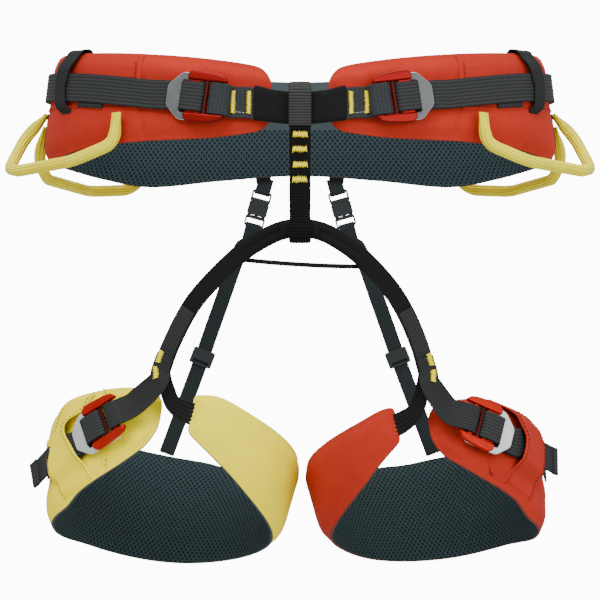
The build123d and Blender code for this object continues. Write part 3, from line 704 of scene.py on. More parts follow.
# ------------------------------------------------------------------------------------------------- pads
def curve_of(points):
    p = smooth_path(points, 1.0)
    order = np.argsort(p[:, 0])
    return lambda across: np.interp(across, p[order, 0], p[order, 1])


def power(x, exponent):
    """A power that keeps the sign, which squares off a round section."""
    return np.sign(x) * np.abs(x) ** exponent


def smoothstep(x):
    x = np.clip(x, 0, 1)
    return x * x * (3 - 2 * x)


SIM_SCALE = 10.0                 # cloth is simulated at ten times its size, where the solver is steadier
SIM_FRAMES = 18
PUFF_PRESSURE, PUFF_CAP = 5.0, 2.2


def puffed(verts, faces, pins):
    """Cloth simulation of a closed pad with some of it held. Returns where its points end up."""
    mesh = bpy.data.meshes.new("Simulated")
    mesh.from_pydata((verts * MM * SIM_SCALE).tolist(), [], faces)
    obj = bpy.data.objects.new("Simulated", mesh)
    bpy.context.scene.collection.objects.link(obj)
    group = obj.vertex_groups.new(name="Held")
    for k, w in enumerate(pins):
        if w > 0:
            group.add([k], float(w), "REPLACE")
    cloth = obj.modifiers.new("Cloth", "CLOTH")
    s = cloth.settings
    s.quality = 6
    s.mass = 0.35
    s.tension_stiffness = s.compression_stiffness = 25
    s.shear_stiffness = 12
    s.bending_stiffness = 0.6
    s.vertex_group_mass = "Held"
    s.use_pressure = True
    s.uniform_pressure_force = PUFF_PRESSURE
    s.shrink_min = -0.015
    s.effector_weights.gravity = 0
    cloth.collision_settings.use_collision = False
    cloth.point_cache.frame_start, cloth.point_cache.frame_end = 1, SIM_FRAMES
    for f in range(1, SIM_FRAMES + 1):
        bpy.context.scene.frame_set(f)
    done = obj.evaluated_get(bpy.context.evaluated_depsgraph_get()).to_mesh()
    moved = np.array([v.co for v in done.vertices]) / (MM * SIM_SCALE)
    bpy.context.scene.frame_set(1)
    bpy.data.objects.remove(obj)
    step = moved - verts
    step[~np.isfinite(step).all(1)] = 0
    size = np.linalg.norm(step, axis=1, keepdims=True)
    return verts + step * (PUFF_CAP * np.tanh(size / PUFF_CAP) / np.maximum(size, 1e-6))


PAD_THICK = 8.6
EDGE_PINCH = 2.9


PAD_ROWS, PAD_STEP = 18, 3.2
END_STEPS = np.array([0, 0.25, 0.8, 1.7, 3.0, 4.6, 6.6, 9.0])


def pad(name, ring, start, stop, top, bottom, corners, mats, held, relief, side=1):
    """Padded band along a ring: shell outside, bound edge, lining inside.

    top and bottom give the edges' heights from (across, front). held(across, height, front) is 1 where the
    shell is sewn or pressed flat, and relief adds to its lift.
    """
    near = END_STEPS
    whole = np.linspace(start, stop, 900)
    along = lengths(ring.at(whole, 0))
    margin = near[-1] + PAD_STEP
    middle = np.linspace(margin, along[-1] - near[-1] - PAD_STEP, int(along[-1] / PAD_STEP))
    at = np.concatenate([near, middle, along[-1] - near[::-1]])
    angles = np.interp(at, along, whole)
    front = np.cos(angles) > 0

    def edge(height_of):
        h = np.zeros(len(angles))
        for _ in range(8):
            h = height_of((ring.size[0] + ring.flare * h) * np.sin(angles), front)
        return h

    ht, hb = edge(top), edge(bottom)
    for distance, radius in ((at, corners[0]), (along[-1] - at, corners[1])):
        if radius:
            inside = np.clip(radius - distance, 0, radius)
            drop = radius - np.sqrt(np.maximum(radius**2 - inside**2, 0))
            ht, hb = ht - drop, hb + drop
    ends = np.minimum(at, along[-1] - at)
    k = np.linspace(0, 1, PAD_ROWS - 1)
    t = 0.75 * k + 0.25 * (1 - np.cos(np.pi * k)) / 2
    inset = 1.1
    tall = ht - hb
    heights = np.concatenate(
        [hb[:, None], (hb + inset)[:, None] + t * (tall - 2 * inset)[:, None], ht[:, None]], 1
    )
    border = np.minimum(np.minimum(heights - hb[:, None], ht[:, None] - heights), ends[:, None])
    pinch = EDGE_PINCH * (1 - smoothstep(border / 8.5))
    across = (ring.size[0] + ring.flare * heights) * np.sin(angles)[:, None]
    is_front = np.repeat(front[:, None], heights.shape[1], 1)
    free = smoothstep(border / 5)
    outer = ring.at(angles[:, None], heights, -pinch + relief(across, heights, is_front) * free)
    inner = ring.at(angles[:, None], heights, -PAD_THICK + pinch)[:, ::-1]
    half = PAD_THICK / 2 - EDGE_PINCH
    caps = []
    for h, sign in ((ht, 1), (hb, -1)):
        turn = np.array([45, 90, 135]) * math.pi / 180
        lift = -PAD_THICK / 2 + sign * half * np.cos(turn)
        caps.append(ring.at(angles[:, None], h[:, None] + sign * 1.1 * np.sin(turn), lift))
    rings = np.concatenate([outer, caps[0], inner, caps[1]], 1)
    hold = np.ones(rings.shape[:2])
    n_rows = heights.shape[1]
    hold[:, :n_rows] = np.maximum(held(across, heights, is_front), 1 - smoothstep((border - 2) / 4))
    inner_hold = 1 - 0.9 * smoothstep((border - 2) / 5)
    hold[:, n_rows + 3 : 2 * n_rows + 3] = inner_hold[:, ::-1]
    n, m = rings.shape[:2]
    faces, _, _ = skin(rings, np.zeros(n + 1), np.zeros(m + 1))
    verts = rings.reshape(-1, 3)
    faces = faces.tolist()
    for end in (0, n - 1):
        centre = len(verts)
        verts = np.vstack([verts, rings[end].mean(0)])
        faces += [[end * m + j, end * m + (j + 1) % m, centre] for j in range(m)]
    pins = np.append(hold.ravel(), [1, 1])
    check = bmesh.new()
    temp = bpy.data.meshes.new("Check")
    temp.from_pydata(verts.tolist(), [], faces)
    check.from_mesh(temp)
    bmesh.ops.recalc_face_normals(check, faces=check.faces)
    check.to_mesh(temp)
    check.free()
    verts = puffed(verts, [list(p.vertices) for p in temp.polygons], pins)
    bpy.data.meshes.remove(temp)
    verts = flip(verts, side)
    u = np.append(at, at[-1])
    rim = np.array([[1, 2, 3]])
    column = np.concatenate([heights, ht[:, None] + rim, heights[:, ::-1], hb[:, None] - rim], 1)
    column = np.concatenate([column, column[:, :1]], 1)
    i, j = np.meshgrid(np.arange(n - 1), np.arange(m), indexing="ij")
    uvs = np.stack(
        [np.stack([u[a], column[a, b]], -1) for a, b in ((i, j), (i + 1, j), (i + 1, j + 1), (i, j + 1))], -2
    ).reshape(-1, 2)
    row = np.zeros(m, int)
    row[n_rows : n_rows + 2] = 1
    row[2 * n_rows + 3 : 2 * n_rows + 5] = 1
    row[n_rows + 2 : 2 * n_rows + 3] = 2
    face_mats = np.tile(row, n - 1).tolist() + [1] * (2 * m)
    uvs = np.vstack([uvs, np.zeros((6 * m, 2))])
    obj = make(name, verts, faces, mats, uvs, face_mats)
    subdivided(obj)
    return obj


def line_on(ring, points, lift, step=2.0):
    """Points of a path drawn on a ring's front as (across, height), with the directions out of the ring."""
    p = smooth_path(points, step)
    angle = ring.angle(p[:, 0], p[:, 1])
    return ring.at(angle, p[:, 1], lift), ring.out(angle, p[:, 1])


# ------------------------------------------------------------------------------------------- waist belt
def fall(across):
    """Height of the waist webbing's middle on the front."""
    across = np.abs(across)
    return STRAP_SLOPE * across - 0.9 * smoothstep((150 - across) / 60) * smoothstep((across - 34) / 12)


front_top = curve_of([(-195, 44), (-140, 41.6), (-83, 36.8), (-40, 31), (-20, 26), (-15, 24.5)])
front_bottom = curve_of([(-195, -34), (-155, -24), (-118, -20.2), (-60, -18.2), (-20, -13), (-15, -12.4)])
back_top = curve_of([(-195, 44), (-100, 39), (0, 33.7), (100, 39), (195, 44)])
back_bottom = curve_of(
    [(-195, -29), (-184, -31), (-150, -39.5), (-114, -44.5), (-60, -39), (0, -35), (60, -39), (114, -44.5)]
    + [(150, -39.5), (184, -31), (195, -29)]
)


def waist_top(across, front):
    return np.where(front, front_top(-np.abs(across)), back_top(across))


def waist_bottom(across, front):
    return np.where(front, front_bottom(-np.abs(across)), back_bottom(across))


def waist_held(across, height, front):
    """1 under the webbing, the buckles, the side panels and along their seams."""
    strap = np.where(front, fall(across), 22)
    under = 1 - smoothstep((np.abs(height - strap) - 11) / 6)
    panel = (smoothstep((np.abs(across) - 107) / 4)) * (height > 0)
    return np.clip(np.maximum(under, np.where(front | (np.abs(across) > 120), panel, 0)), 0, 1)


def waist_relief(across, height, front):
    """Soft creases where the webbing and the buckles press the pad."""
    x = np.abs(across)
    strap = np.where(front, fall(across), 22)
    d = np.abs(height - strap) - 10
    swell = 0.9 * np.exp(-((d - 9) ** 2) / 40) * (d > 0)
    crease = 0.45 * np.sin(x / 6.5 + 2.0 * np.sin(height / 9)) * np.exp(-((x - 70) ** 2) / 900)
    crease = crease * smoothstep(d / 5)
    wave = 0.5 * np.sin(x / 17 + height / 13 + 1.3 * np.sin(x / 31))
    groove = -0.9 * np.exp(-((x - 109.6) ** 2) / 2.5) * front
    return (swell + crease + 0.4 * wave) * smoothstep(d / 4) + groove


end_angle = WAIST.angle(20.0)
waist_pad = pad(
    "Waist pad", WAIST, -end_angle, -2 * np.pi + end_angle, waist_top, waist_bottom, (11, 11),
    ["shell_red", "edge_red", "lining_waist"], waist_held, waist_relief,
)
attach(waist_pad, "waist_belt")
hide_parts("waist_shell", "waist_foam", "waist_lining")


def across_path(ring, start, stop, lift, height_of, step=2.0):
    """A path along a ring between two angles."""
    angles = np.linspace(start, stop, max(4, int(abs(stop - start) * ring.size[0] / step)))
    across = ring.size[0] * np.sin(angles)
    height = height_of(across)
    return ring.at(angles, height, lift), ring.up(angles, height)


# Profile of the webbing in a buckle: (along the strap, outwards), up through the frame and down the slot.
THREADING = [
    (-24, -2.9), (-14, -2.9), (-5, -2.85), (1.2, -2.55), (4.6, -1.2), (5.95, 1.2), (6.1, 4.2),
    (5.0, 5.85), (2.4, 6.35), (-1.5, 6.4), (-5.5, 6.35), (-8.2, 5.8), (-9.4, 4.0), (-9.4, 1.6),
    (-9.9, -0.2), (-12.6, -1.05), (-18, -1.15), (-25, -1.15),
]


def profile(plane, points):
    p = np.asarray(points, float)
    return plane.o + p[:, :1] * plane.x + p[:, 1:] * plane.z


def strap(name, path, up, side=1, width=STRAP, thick=1.5, wave=0.0, depth=0.22):
    """A length of the grey ribbed webbing."""
    return ribbon(name, path, up, width, thick, "webbing", STRAP_RIB, depth, side, wave=wave)


def in_metres(point, side):
    """A point of a right-hand piece in metres, on the given side."""
    return tuple(flip(point, side) * MM)


def threaded(name, plane, before, after, side, replaces):
    """The adjustable webbing: one strap through the buckle and its tail."""
    inside = profile(plane, THREADING)
    points = np.vstack([before[0], inside, after[0]])
    ups = np.vstack([before[1], np.repeat(plane.y[None], len(inside), 0), after[1]])
    p = smooth_path(np.hstack([points, ups * UP_WEIGHT]), 1.0)
    obj = strap(name, p[:, :3], unit(p[:, 3:]), side, wave=0.18)
    start, end = (in_metres(plane.point((along, 0))[0], side) for along in (-40, -19))
    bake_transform(obj)
    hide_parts(*replaces)


def sewn_loop(plane, far_top=()):
    """Sewn webbing's path from afar, round the frame's outer bar and back, in (along, outwards)."""
    return profile(
        plane,
        [*far_top, (24, 3.4), (19.5, 5.3), (16.6, 5.95), (14.0, 6.05), (11.9, 5.4), (11.1, 3.9)]
        + [(11.9, 2.2), (14.2, 1.55), (17.5, 1.2), (24, 0.2)],
    )


def rectangle(low, high, half, radius):
    """Rounded rectangle from low to high along the strap."""
    return rounded_polygon([(low, -half), (low, half), (high, half), (high, -half)], [radius] * 4)


PLATE = rounded_polygon(
    [(-20, -7), (-20, 7), (-10.5, 16.5), (15.5, 16.5), (15.5, 11.6), (4.6, 11.6), (4.6, -11.6)]
    + [(15.5, -11.6), (15.5, -16.5), (-10.5, -16.5)],
    [5, 5, 7, 3, 1.5, 1.2, 1.2, 1.5, 3, 7],
)
PLATE_SLOT = rectangle(-10.4, -0.2, 11.2, 1.6)
ARM_OUTLINE = [
    (-6, 11.4), (-5.6, 15.4), (-2.6, 18.2), (4, 18.0), (15, 16.9), (20.4, 15.4), (23, 12.4), (22.0, 11.2),
]


def draw_buckle(kind, plane, word, side, plate_mats, slider_mat):
    """Plate with a slot, and the red frame over it: two arms and three bars, the middle bar in a darker red
    as painted shade.
    """
    body = f"{kind}_buckle_{word}"
    name = f"{kind} buckle"
    plate = slab(f"{name} plate {word}", plane, [PLATE, PLATE_SLOT], 0, 2.4, 0.55, plate_mats, side)
    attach(plate, body)
    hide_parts(f"{kind}_buckle_frame_{word}")
    parts = []
    for s in (1, -1):
        arm = [(x, y * s) for x, y in ARM_OUTLINE]
        outline = rounded_polygon(arm, [1.5, 2.5, 3, 8, 6, 3, 1.2, 1.2])
        parts.append(slab("Arm", plane, [outline], 2.6, 6.4, 1.05, [slider_mat], side))
    # the middle bar takes the darker red: painted shade in the gap between the webbing's fold and the sewn
    # loop
    for low, high, mat in ((-4.9, 4.7, slider_mat), (7.1, 9.5, "slider_painted_shade"), (12.5, 15.9, slider_mat)):
        parts.append(slab("Bar", plane, [rectangle(low, high, 12, 0.4)], 2.75, 4.95, 0.7, [mat], side))
    slider = merge(f"{name} frame {word}", parts)
    slider.modifiers.new("Flat faces", "WEIGHTED_NORMAL")
    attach(slider, body)
    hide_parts(f"{kind}_buckle_slider_{word}")


def panel_bottom(x):
    return np.interp(x, [-195, -140, -111], [4, 1.5, 1.0])


def side_panel(word, side):
    """Cloth panel sewn over the pad's side, with a folded front edge and a stitched bottom edge."""
    start, stop = -WAIST.angle(111.2), -np.pi + WAIST.angle(119.0)
    angles = np.concatenate([np.linspace(start, start - 0.035, 8), np.linspace(start - 0.045, stop, 60)])
    front = np.cos(angles) > 0
    x = WAIST.size[0] * np.sin(angles)
    top = np.where(front, front_top(x), back_top(x)) - 0.6
    bottom = panel_bottom(x)
    t = np.concatenate([[0, 0.02, 0.05], np.linspace(0.1, 0.9, 14), [0.95, 0.98, 1]])
    h = bottom[:, None] + (top - bottom)[:, None] * t
    d = np.minimum(h - bottom[:, None], top[:, None] - h)
    from_front = (start - angles)[:, None] * 170
    flap = 1.1 * np.exp(-((from_front - 2.0) ** 2) / 3.5)
    sink = 2.2 * (1 - smoothstep((top[:, None] - h) / 8))
    hem = 0.55 * np.exp(-((h - bottom[:, None] - 2.2) ** 2) / 2.5)
    lift = 0.75 + flap + hem - 0.5 * (1 - smoothstep(d / 1.5)) - sink
    outer = WAIST.at(angles[:, None], h, lift)
    inner = WAIST.at(angles[:, None], h, -0.3 - sink)[:, ::-1]
    rings = np.concatenate([outer, inner], 1)
    v = np.concatenate([t * 40, t[::-1] * 40])
    panel = loft(f"Waist side panel {word}", rings, ["shell_red"], v, side)
    subdivided(panel)
    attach(panel, "waist_belt")
    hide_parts(f"waist_side_panel_{word}")
    hem_angles = np.linspace(start - 0.02, stop, 200)
    hem_line = hem_angles, panel_bottom(WAIST.size[0] * np.sin(hem_angles)) + 2.4, 1.3
    flap_line = np.full(60, start - 0.026), np.linspace(3, 35, 60), 1.5
    rows = [
        stitches("Stitch", WAIST.at(a, z, out), WAIST.out(a, z), "thread_red", side)
        for a, z, out in (hem_line, flap_line)
    ]
    seams = merge(f"Panel stitching {word}", rows)
    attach(seams, "waist_belt")


GEAR_RADIUS = 4.15
GEAR_RIDGES = 10


def gear_loop(place, word, side, route, radii):
    """Ribbed tube that flattens where its ends are sewn to the belt."""
    route = np.asarray(route, float)
    points = [route[0]]
    for before, p, after, radius in zip(route, route[1:], route[2:], radii):
        da, db = unit(before - p), unit(after - p)
        half = math.acos(float(np.clip(da @ db, -1, 1))) / 2
        room = 0.49 * np.linalg.norm(before - p), 0.49 * np.linalg.norm(after - p)
        reach = min(radius / math.tan(half), *room)
        points += arc_between(p + da * reach, p, p + db * reach, 9)
    path = smooth_path(points + [route[-1]], 1.6)
    kernel = np.exp(-np.linspace(-1.8, 1.8, 11) ** 2)
    padded = np.vstack([2 * path[0] - path[5:0:-1], path, 2 * path[-1] - path[-2:-7:-1]])
    path = np.stack([np.convolve(padded[:, i], kernel / kernel.sum(), "valid") for i in range(3)], 1)
    d = lengths(path)
    near_end = np.minimum(d, d[-1] - d)
    centre = np.array([0, 0, path[:, 2].mean()])
    outward = unit((path - centre) * (1, 1, 0))
    t = tangents(path)
    o = unit(outward - t * (outward * t).sum(1, keepdims=True))
    a = np.cross(o, t)
    phi = np.linspace(0, 2 * np.pi, 48, endpoint=False)
    ridge = 1 + 0.045 * np.cos(phi * GEAR_RIDGES)
    flat = 0.42 + 0.58 * smoothstep(near_end / 16)
    wide = 1.32 - 0.32 * smoothstep(near_end / 16)
    rings = (
        path[:, None]
        + a[:, None] * (GEAR_RADIUS * wide[:, None] * (ridge * np.cos(phi)))[..., None]
        + o[:, None] * (GEAR_RADIUS * flat[:, None] * (ridge * np.sin(phi)))[..., None]
    )
    loop = loft(f"Gear loop {place} {word}", rings, ["gear"], phi * GEAR_RADIUS, side)
    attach(loop, f"gear_loop_{place}_{word}")
    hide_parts(f"gear_loop_{place}_{word}")


LOWER_LAYER, UPPER_LAYER = 2.1, 3.95  # lifts of the webbing and of its tail over it
FRONT_GEAR = (
    [(-126.5, -86.5, -1), (-127.5, -88, -22), (-158, -78, -34), (-199, -40, -39), (-208.5, -8, -36)]
    + [(-198.5, 9, -13), (-182.6, 9, 4)],
    [12, 30, 20, 12, 18],
)
REAR_GEAR = (
    [(-185.5, 27, -4), (-191, 30, -26), (-187, 48, -41), (-158, 88, -48.5), (-126, 110, -46.5)]
    + [(-115, 107, -26), (-113, 96.5, -4)],
    [14, 16, 30, 14, 18],
)

for word, side in SIDES:
    side_panel(word, side)
    # the webbing's front run, its buckle and its tail
    near_buckle = -WAIST.angle(100)
    lower = across_path(WAIST, math.radians(-97), near_buckle, LOWER_LAYER, fall, 3)
    tail_height = lambda x: np.minimum(fall(x), 21.8)
    tail = across_path(WAIST, near_buckle, math.radians(-110), UPPER_LAYER, tail_height, 3)
    threaded(
        f"Waist webbing {word}", WAIST_BUCKLE, lower, tail, side,
        [f"waist_tail_{word}", f"waist_fold_{word}"],
    )
    draw_buckle("waist", WAIST_BUCKLE, word, side, ["plate", "plate_rim"], "slider")
    # the folded end of the webbing shows below it
    fold_height = lambda x: fall(x) - 10.2
    fold_path, fold_up = across_path(WAIST, -WAIST.angle(154), -WAIST.angle(136), 2.2, fold_height)
    fold = strap(f"Waist webbing edge {word}", fold_path, fold_up, side, 6.5, 1.7, depth=0.2)
    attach(fold, "waist_belt")
    # elastic keeper over the webbing and over the belt's top edge
    keeper_angle = -WAIST.angle(165.5)
    arc = smooth_path(
        [(0.2, 0.6), (2.5, 1.9), (5.5, 4.9), (9, 6.0), (20, 6.1), (31, 6.0), (36, 4.6), (40.5, 1.6)]
        + [(44.2, -0.8), (45.6, -4.2), (44, -8.6), (36, -9.6), (30, -9.7)],
        1.0,
    )
    lean = np.interp(arc[:, 0], [0, 20, 45], [0.035, 0.0, 0.03])
    path = WAIST.at(keeper_angle + lean, arc[:, 0], arc[:, 1])
    beside = WAIST.at(keeper_angle + lean + 0.02, arc[:, 0], arc[:, 1]) - path
    widths = np.interp(arc[:, 0], [0, 20, 40], [12, 13, 17])
    keeper = ribbon(f"Waist keeper {word}", path, -beside, widths, 1.25, "elastic", side=side, wave=0.2)
    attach(keeper, "waist_belt")
    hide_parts(f"waist_keeper_{word}")
    # gear loops and the small tab between them
    gear_loop("front", word, side, *FRONT_GEAR)
    gear_loop("rear", word, side, *REAR_GEAR)
    a = math.radians(-96)
    tab_path = WAIST.at(a, np.linspace(4, -20, 14), 1.4)
    tab_across = WAIST.at(a - 0.02, 0) - WAIST.at(a, 0)
    tab = strap(f"Side tab {word}", tab_path, tab_across, side, 15, 1.6, depth=0.2)
    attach(tab, "waist_belt")

back_start, back_stop = math.radians(-92), math.radians(-268)
back_path, back_up = across_path(WAIST, back_start, back_stop, LOWER_LAYER, lambda x: 22 + 0 * x, 3)
back_webbing = strap("Waist webbing back", back_path, back_up, wave=0.1, depth=0.2)
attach(back_webbing, "waist_belt")
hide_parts("waist_webbing")

# ------------------------------------------------------------------- sewn webbing, sleeve and belay loop
BELT_TO_LOOP = (-31, FRONT, 1), (-9, FRONT, 1)


def tie_in_height(x):
    return np.maximum(fall(x), 1)


for word, side in SIDES:
    far = across_path(WAIST, -WAIST.angle(48), 0.0, 4.25, tie_in_height)
    back_run = across_path(WAIST, 0.0, -WAIST.angle(46), 2.75, tie_in_height)
    turn = sewn_loop(WAIST_BUCKLE)
    points = np.vstack([far[0][::-1], turn, back_run[0][::-1]])
    ups = np.vstack([far[1][::-1], np.repeat(WAIST_BUCKLE.y[None], len(turn), 0), back_run[1][::-1]])
    p = smooth_path(np.hstack([points, ups * UP_WEIGHT]), 1.2)
    tie = ribbon(f"Sewn webbing {word}", p[:, :3], unit(p[:, 3:]), 21.6, 1.35, "tie_in", 1.35, 0.1, side)
    start, end = (in_metres(q, side) for q in BELT_TO_LOOP)
    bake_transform(tie)
    xs = np.linspace(-31, 0.0, 26)
    sections = []
    phi = np.linspace(0, 2 * np.pi, 36, endpoint=False)
    for x in xs:
        a = -WAIST.angle(abs(x)) if x < 0 else 0.0
        near = smoothstep((31 + x) / 16)
        tall = 12.1 - 0.9 * near
        deep = 2.9 + 0.9 * near
        c = WAIST.at(a, max(fall(x), 1.0) + 0.4 - 0.9 * near, 3.5)
        up, out = WAIST.up(a, 0), WAIST.out(a, 0)
        across, lift = power(np.cos(phi), 0.36), power(np.sin(phi), 0.6)
        wrinkle = 0.35 * np.sin(across * 7 + x * 0.45) * near
        sections.append(c + up * (tall * across)[:, None] + out * (deep * lift + wrinkle)[:, None])
    sleeve = loft(f"Tie-in sleeve {word}", np.array(sections), ["sleeve"], None, side)
    subdivided(sleeve)
    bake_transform(sleeve)
    if side > 0:
        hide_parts("tie_in_webbing")
        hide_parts("tie_in_sleeve")
    tacks = []
    top_half = p[: len(p) // 2]
    for x in (-34.8, -45.9):
        k = int(np.argmin(np.abs(top_half[:, 0] - x)))
        along, up = unit(top_half[k + 1, :3] - top_half[k - 1, :3]), unit(top_half[k, 3:])
        out = np.cross(along, up)
        out = out if out[1] < 0 else -out
        upright = Plane(top_half[k, :3] + out * 1.05, up, out)
        tacks.append(bartack(upright, (0, 0, 0), 15.2, 3.0, side))
    plane = WAIST.plane(-40.3, fall(40.3) - 7.4, 5.0, STRAP_FALL)
    line = plane.point(np.stack([np.linspace(-3.4, 3.4, 12), np.zeros(12), np.zeros(12)], 1))
    outward = np.repeat(plane.z[None], 12, 0)
    tacks.append(stitches("Marker", line, outward, "thread_white", side, 1.3, 1.7, 0.22))
    tack = merge(f"Waist bar tacks {word}", tacks)
    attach(tack, "waist_belt")
    if side > 0:
        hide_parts("tie_in_bartacks")


def loop_path(top, bottom, deep, step=1.5):
    """Upright stadium in the middle plane of the harness. deep is half its depth."""
    r = deep
    points = [(-r, z) for z in np.arange(bottom + r, top - r, step)]
    points += [(-r * math.cos(a), top - r + r * math.sin(a)) for a in np.linspace(0, math.pi, 18)]
    points += [(r, z) for z in np.arange(top - r, bottom + r, -step)][1:]
    points += [(r * math.cos(a), bottom + r - r * math.sin(a)) for a in np.linspace(0, math.pi, 18)][:-1]
    p = np.array(points)
    return np.stack([np.zeros(len(p)), FRONT + p[:, 0], p[:, 1]], 1)


def part_of_loop(keep, middle, upward):
    """Points of the belay loop that keep holds for, in order round a point at the height middle."""
    p = loop_path(LOOP_TOP - 1.5, LOOP_BOTTOM + 1.4, 8.5, 1.0)
    p = p[keep(p[:, 2])]
    return p[np.argsort(np.arctan2(p[:, 1] - FRONT, upward * (p[:, 2] - middle)))]


path = loop_path(LOOP_TOP - 1.7, LOOP_BOTTOM + 1.7, 8.3)
narrow = 14.4 + 0.25 * np.sin(path[:, 2] / 5)
belay = ribbon("Belay loop", path, (1, 0, 0), narrow, 3.3, "loop", 2.4, 0.12, closed=True)
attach(belay, "belay_loop")
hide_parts("belay_loop")
cover_path = part_of_loop(lambda z: z > -13, -40, 1)
cover = ribbon("Belay loop cover", cover_path, (1, 0, 0), 15.4, 4.2, "cover")
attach(cover, "belay_loop")
foot_path = part_of_loop(lambda z: z < -78, -60, -1)
foot = ribbon("Belay loop foot", foot_path, (1, 0, 0), 15.0, 3.9, "loop")
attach(foot, "belay_loop")
face = Plane((0, FRONT - 10.1, 0), (1, 0, 0), (0, -1, 0))
spots = (0.2, -18), (-0.2, -28), (0.2, -38.5), (-0.2, -48.5)
tacks = [bartack(face, (*spot, 0.15), 9.6, 4.0) for spot in spots]
tack = merge("Belay loop bar tacks", tacks)
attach(tack, "belay_loop")
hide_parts("belay_loop_bartacks")

# ------------------------------------------------------------------------------- bridge and leg branches
ARM = {
    "right": [(-2, -80.6), (11, -82), (24, -87), (42, -98), (64, -118), (79, -136), (92, -160), (99, -178)],
    "left": [(-2, -80.6), (11, -82), (24, -87), (42, -99), (62, -119), (75, -138), (85, -160), (91, -180)],
}
ARM_X, ARM_OUT = np.array([-0.963, 0.268, 0.0]), np.array([-0.268, -0.963, 0.0])
SPLIT = {"right": (-97, -89, -186), "left": (-89, -91, -188)}


def lobes(flat):
    """Section of the bridge: two black cords side by side that flatten into one strap further down."""
    phi = np.linspace(0, 2 * np.pi, 48, endpoint=False)
    a = 6.2 * power(np.cos(phi), 0.75 - 0.35 * flat)
    b = power(np.sin(phi), 0.6) * (3.0 - 1.3 * flat)
    dip = (1 - flat) * 0.55 * np.exp(-((a - 0.6) ** 2) / 1.1)
    return np.stack([a, b * (1 - dip)], 1)


for word, side in SIDES:
    p2 = smooth_path(ARM[word], 1.6)
    path = np.array([0, FRONT, 0]) + p2[:, :1] * ARM_X + np.array([[0, 0, 1.0]]) * p2[:, 1:]
    a, o = frames(path, -np.cross(np.gradient(path, axis=0), ARM_OUT))
    d = lengths(path)
    cut = int(np.argmax(path[:, 2] < -136))
    flat = smoothstep((d - 38) / 30)
    rings = np.array([path[k] + a[k] * s[:, :1] + o[k] * s[:, 1:] for k, s in enumerate(map(lobes, flat))])
    rings += o[:, None] * (0.25 * ripple(rings, 9))[..., None] * (1 - flat)[:, None, None]
    inner_edge = 5.2 if a[cut][0] > 0 else -5.2
    pieces = []
    for part, mat, i, j in (("upper", "sleeve", 0, cut + 1), ("lower", "arm", cut, len(path))):
        piece = loft(f"Bridge arm {part} {word}", rings[i:j], [mat], None, side)
        rim_path = path[i:j] + a[i:j] * inner_edge
        rim = tube("Rim", rim_path, 1.5, "black", side, 8)
        pieces.append(merge(f"Bridge arm {part} {word}", [piece, rim]))
    upper, lower = pieces
    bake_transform(upper)
    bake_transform(lower)
    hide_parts(f"leg_arm_{word}")

    # riser from the arm to the leg buckle
    plane = LEG_BUCKLE[word]
    turn = sewn_loop(plane, [(34, 2.2)])[:-1]
    over_arm = [path[-8] + 3.4 * ARM_OUT, path[-1] + 3.2 * ARM_OUT, np.array(SPLIT[word]) + 3.0 * ARM_OUT]
    points = np.vstack([over_arm, turn])
    arm_up = a[-1] if a[-1] @ plane.y > 0 else -a[-1]
    ups = np.vstack([np.repeat(arm_up[None], 3, 0), np.repeat(plane.y[None], len(turn), 0)])
    p = smooth_path(np.hstack([points, ups * 4]), 1.2)
    widths = np.interp(lengths(p[:, :3]), [0, 12, 26, 40], [12, 12.8, 16, 19.5])
    riser = ribbon(f"Leg riser {word}", p[:, :3], unit(p[:, 3:]), widths, 1.8, "arm", 2.0, 0.12, side)
    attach(riser, f"leg_loop_{word}")
    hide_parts(f"leg_riser_{word}")
    # its bar tacks lie over the division
    tacks = []
    for at in (3.5, 15.0):
        k = int(at / 1.2)
        along, across = unit(p[k + 1, :3] - p[k - 1, :3]), unit(p[k, 3:])
        out = np.cross(along, across)
        out = out if out @ ARM_OUT >= 0 else -out
        outer = across if across[0] < 0 else -across
        spot = Plane(p[k, :3] + out * 1.25 + outer * 3.0, along, out)
        tacks.append(bartack(spot, (0, 0, 0), 8.5, 3.8, side))
    tack = merge(f"Leg bar tacks {word}", tacks)
    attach(tack, f"leg_loop_{word}")
    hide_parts(f"leg_riser_bartacks_{word}")

# spreader strap between the arms
x = np.linspace(-45, 45, 60)
sag = -104.5 - x / 84 * 5 - 1.2 * (1 - (x / 45) ** 2)
path = np.stack([x, np.full(60, -98.6), sag], 1)
spreader = ribbon("Spreader", path, (0, 0, 1), 3.2, 1.5, "black", 1.1, 0.08)
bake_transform(spreader)
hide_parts("leg_spreader")
# sleeve of the bridge inside the belay loop
phi = np.linspace(0, 2 * np.pi, 36, endpoint=False)
deep, tall = 4.2 * power(np.cos(phi), 0.7), 5.6 * power(np.sin(phi), 0.7)
rings = np.array([
    np.stack([np.full(36, x), FRONT + deep, -81.4 - 0.012 * x * x + tall], 1)
    for x in np.linspace(-13, 13, 20)
])
bridge = loft("Bridge sleeve", rings, ["sleeve"])
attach(bridge, "belay_loop")
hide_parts("leg_bridge_sleeve")

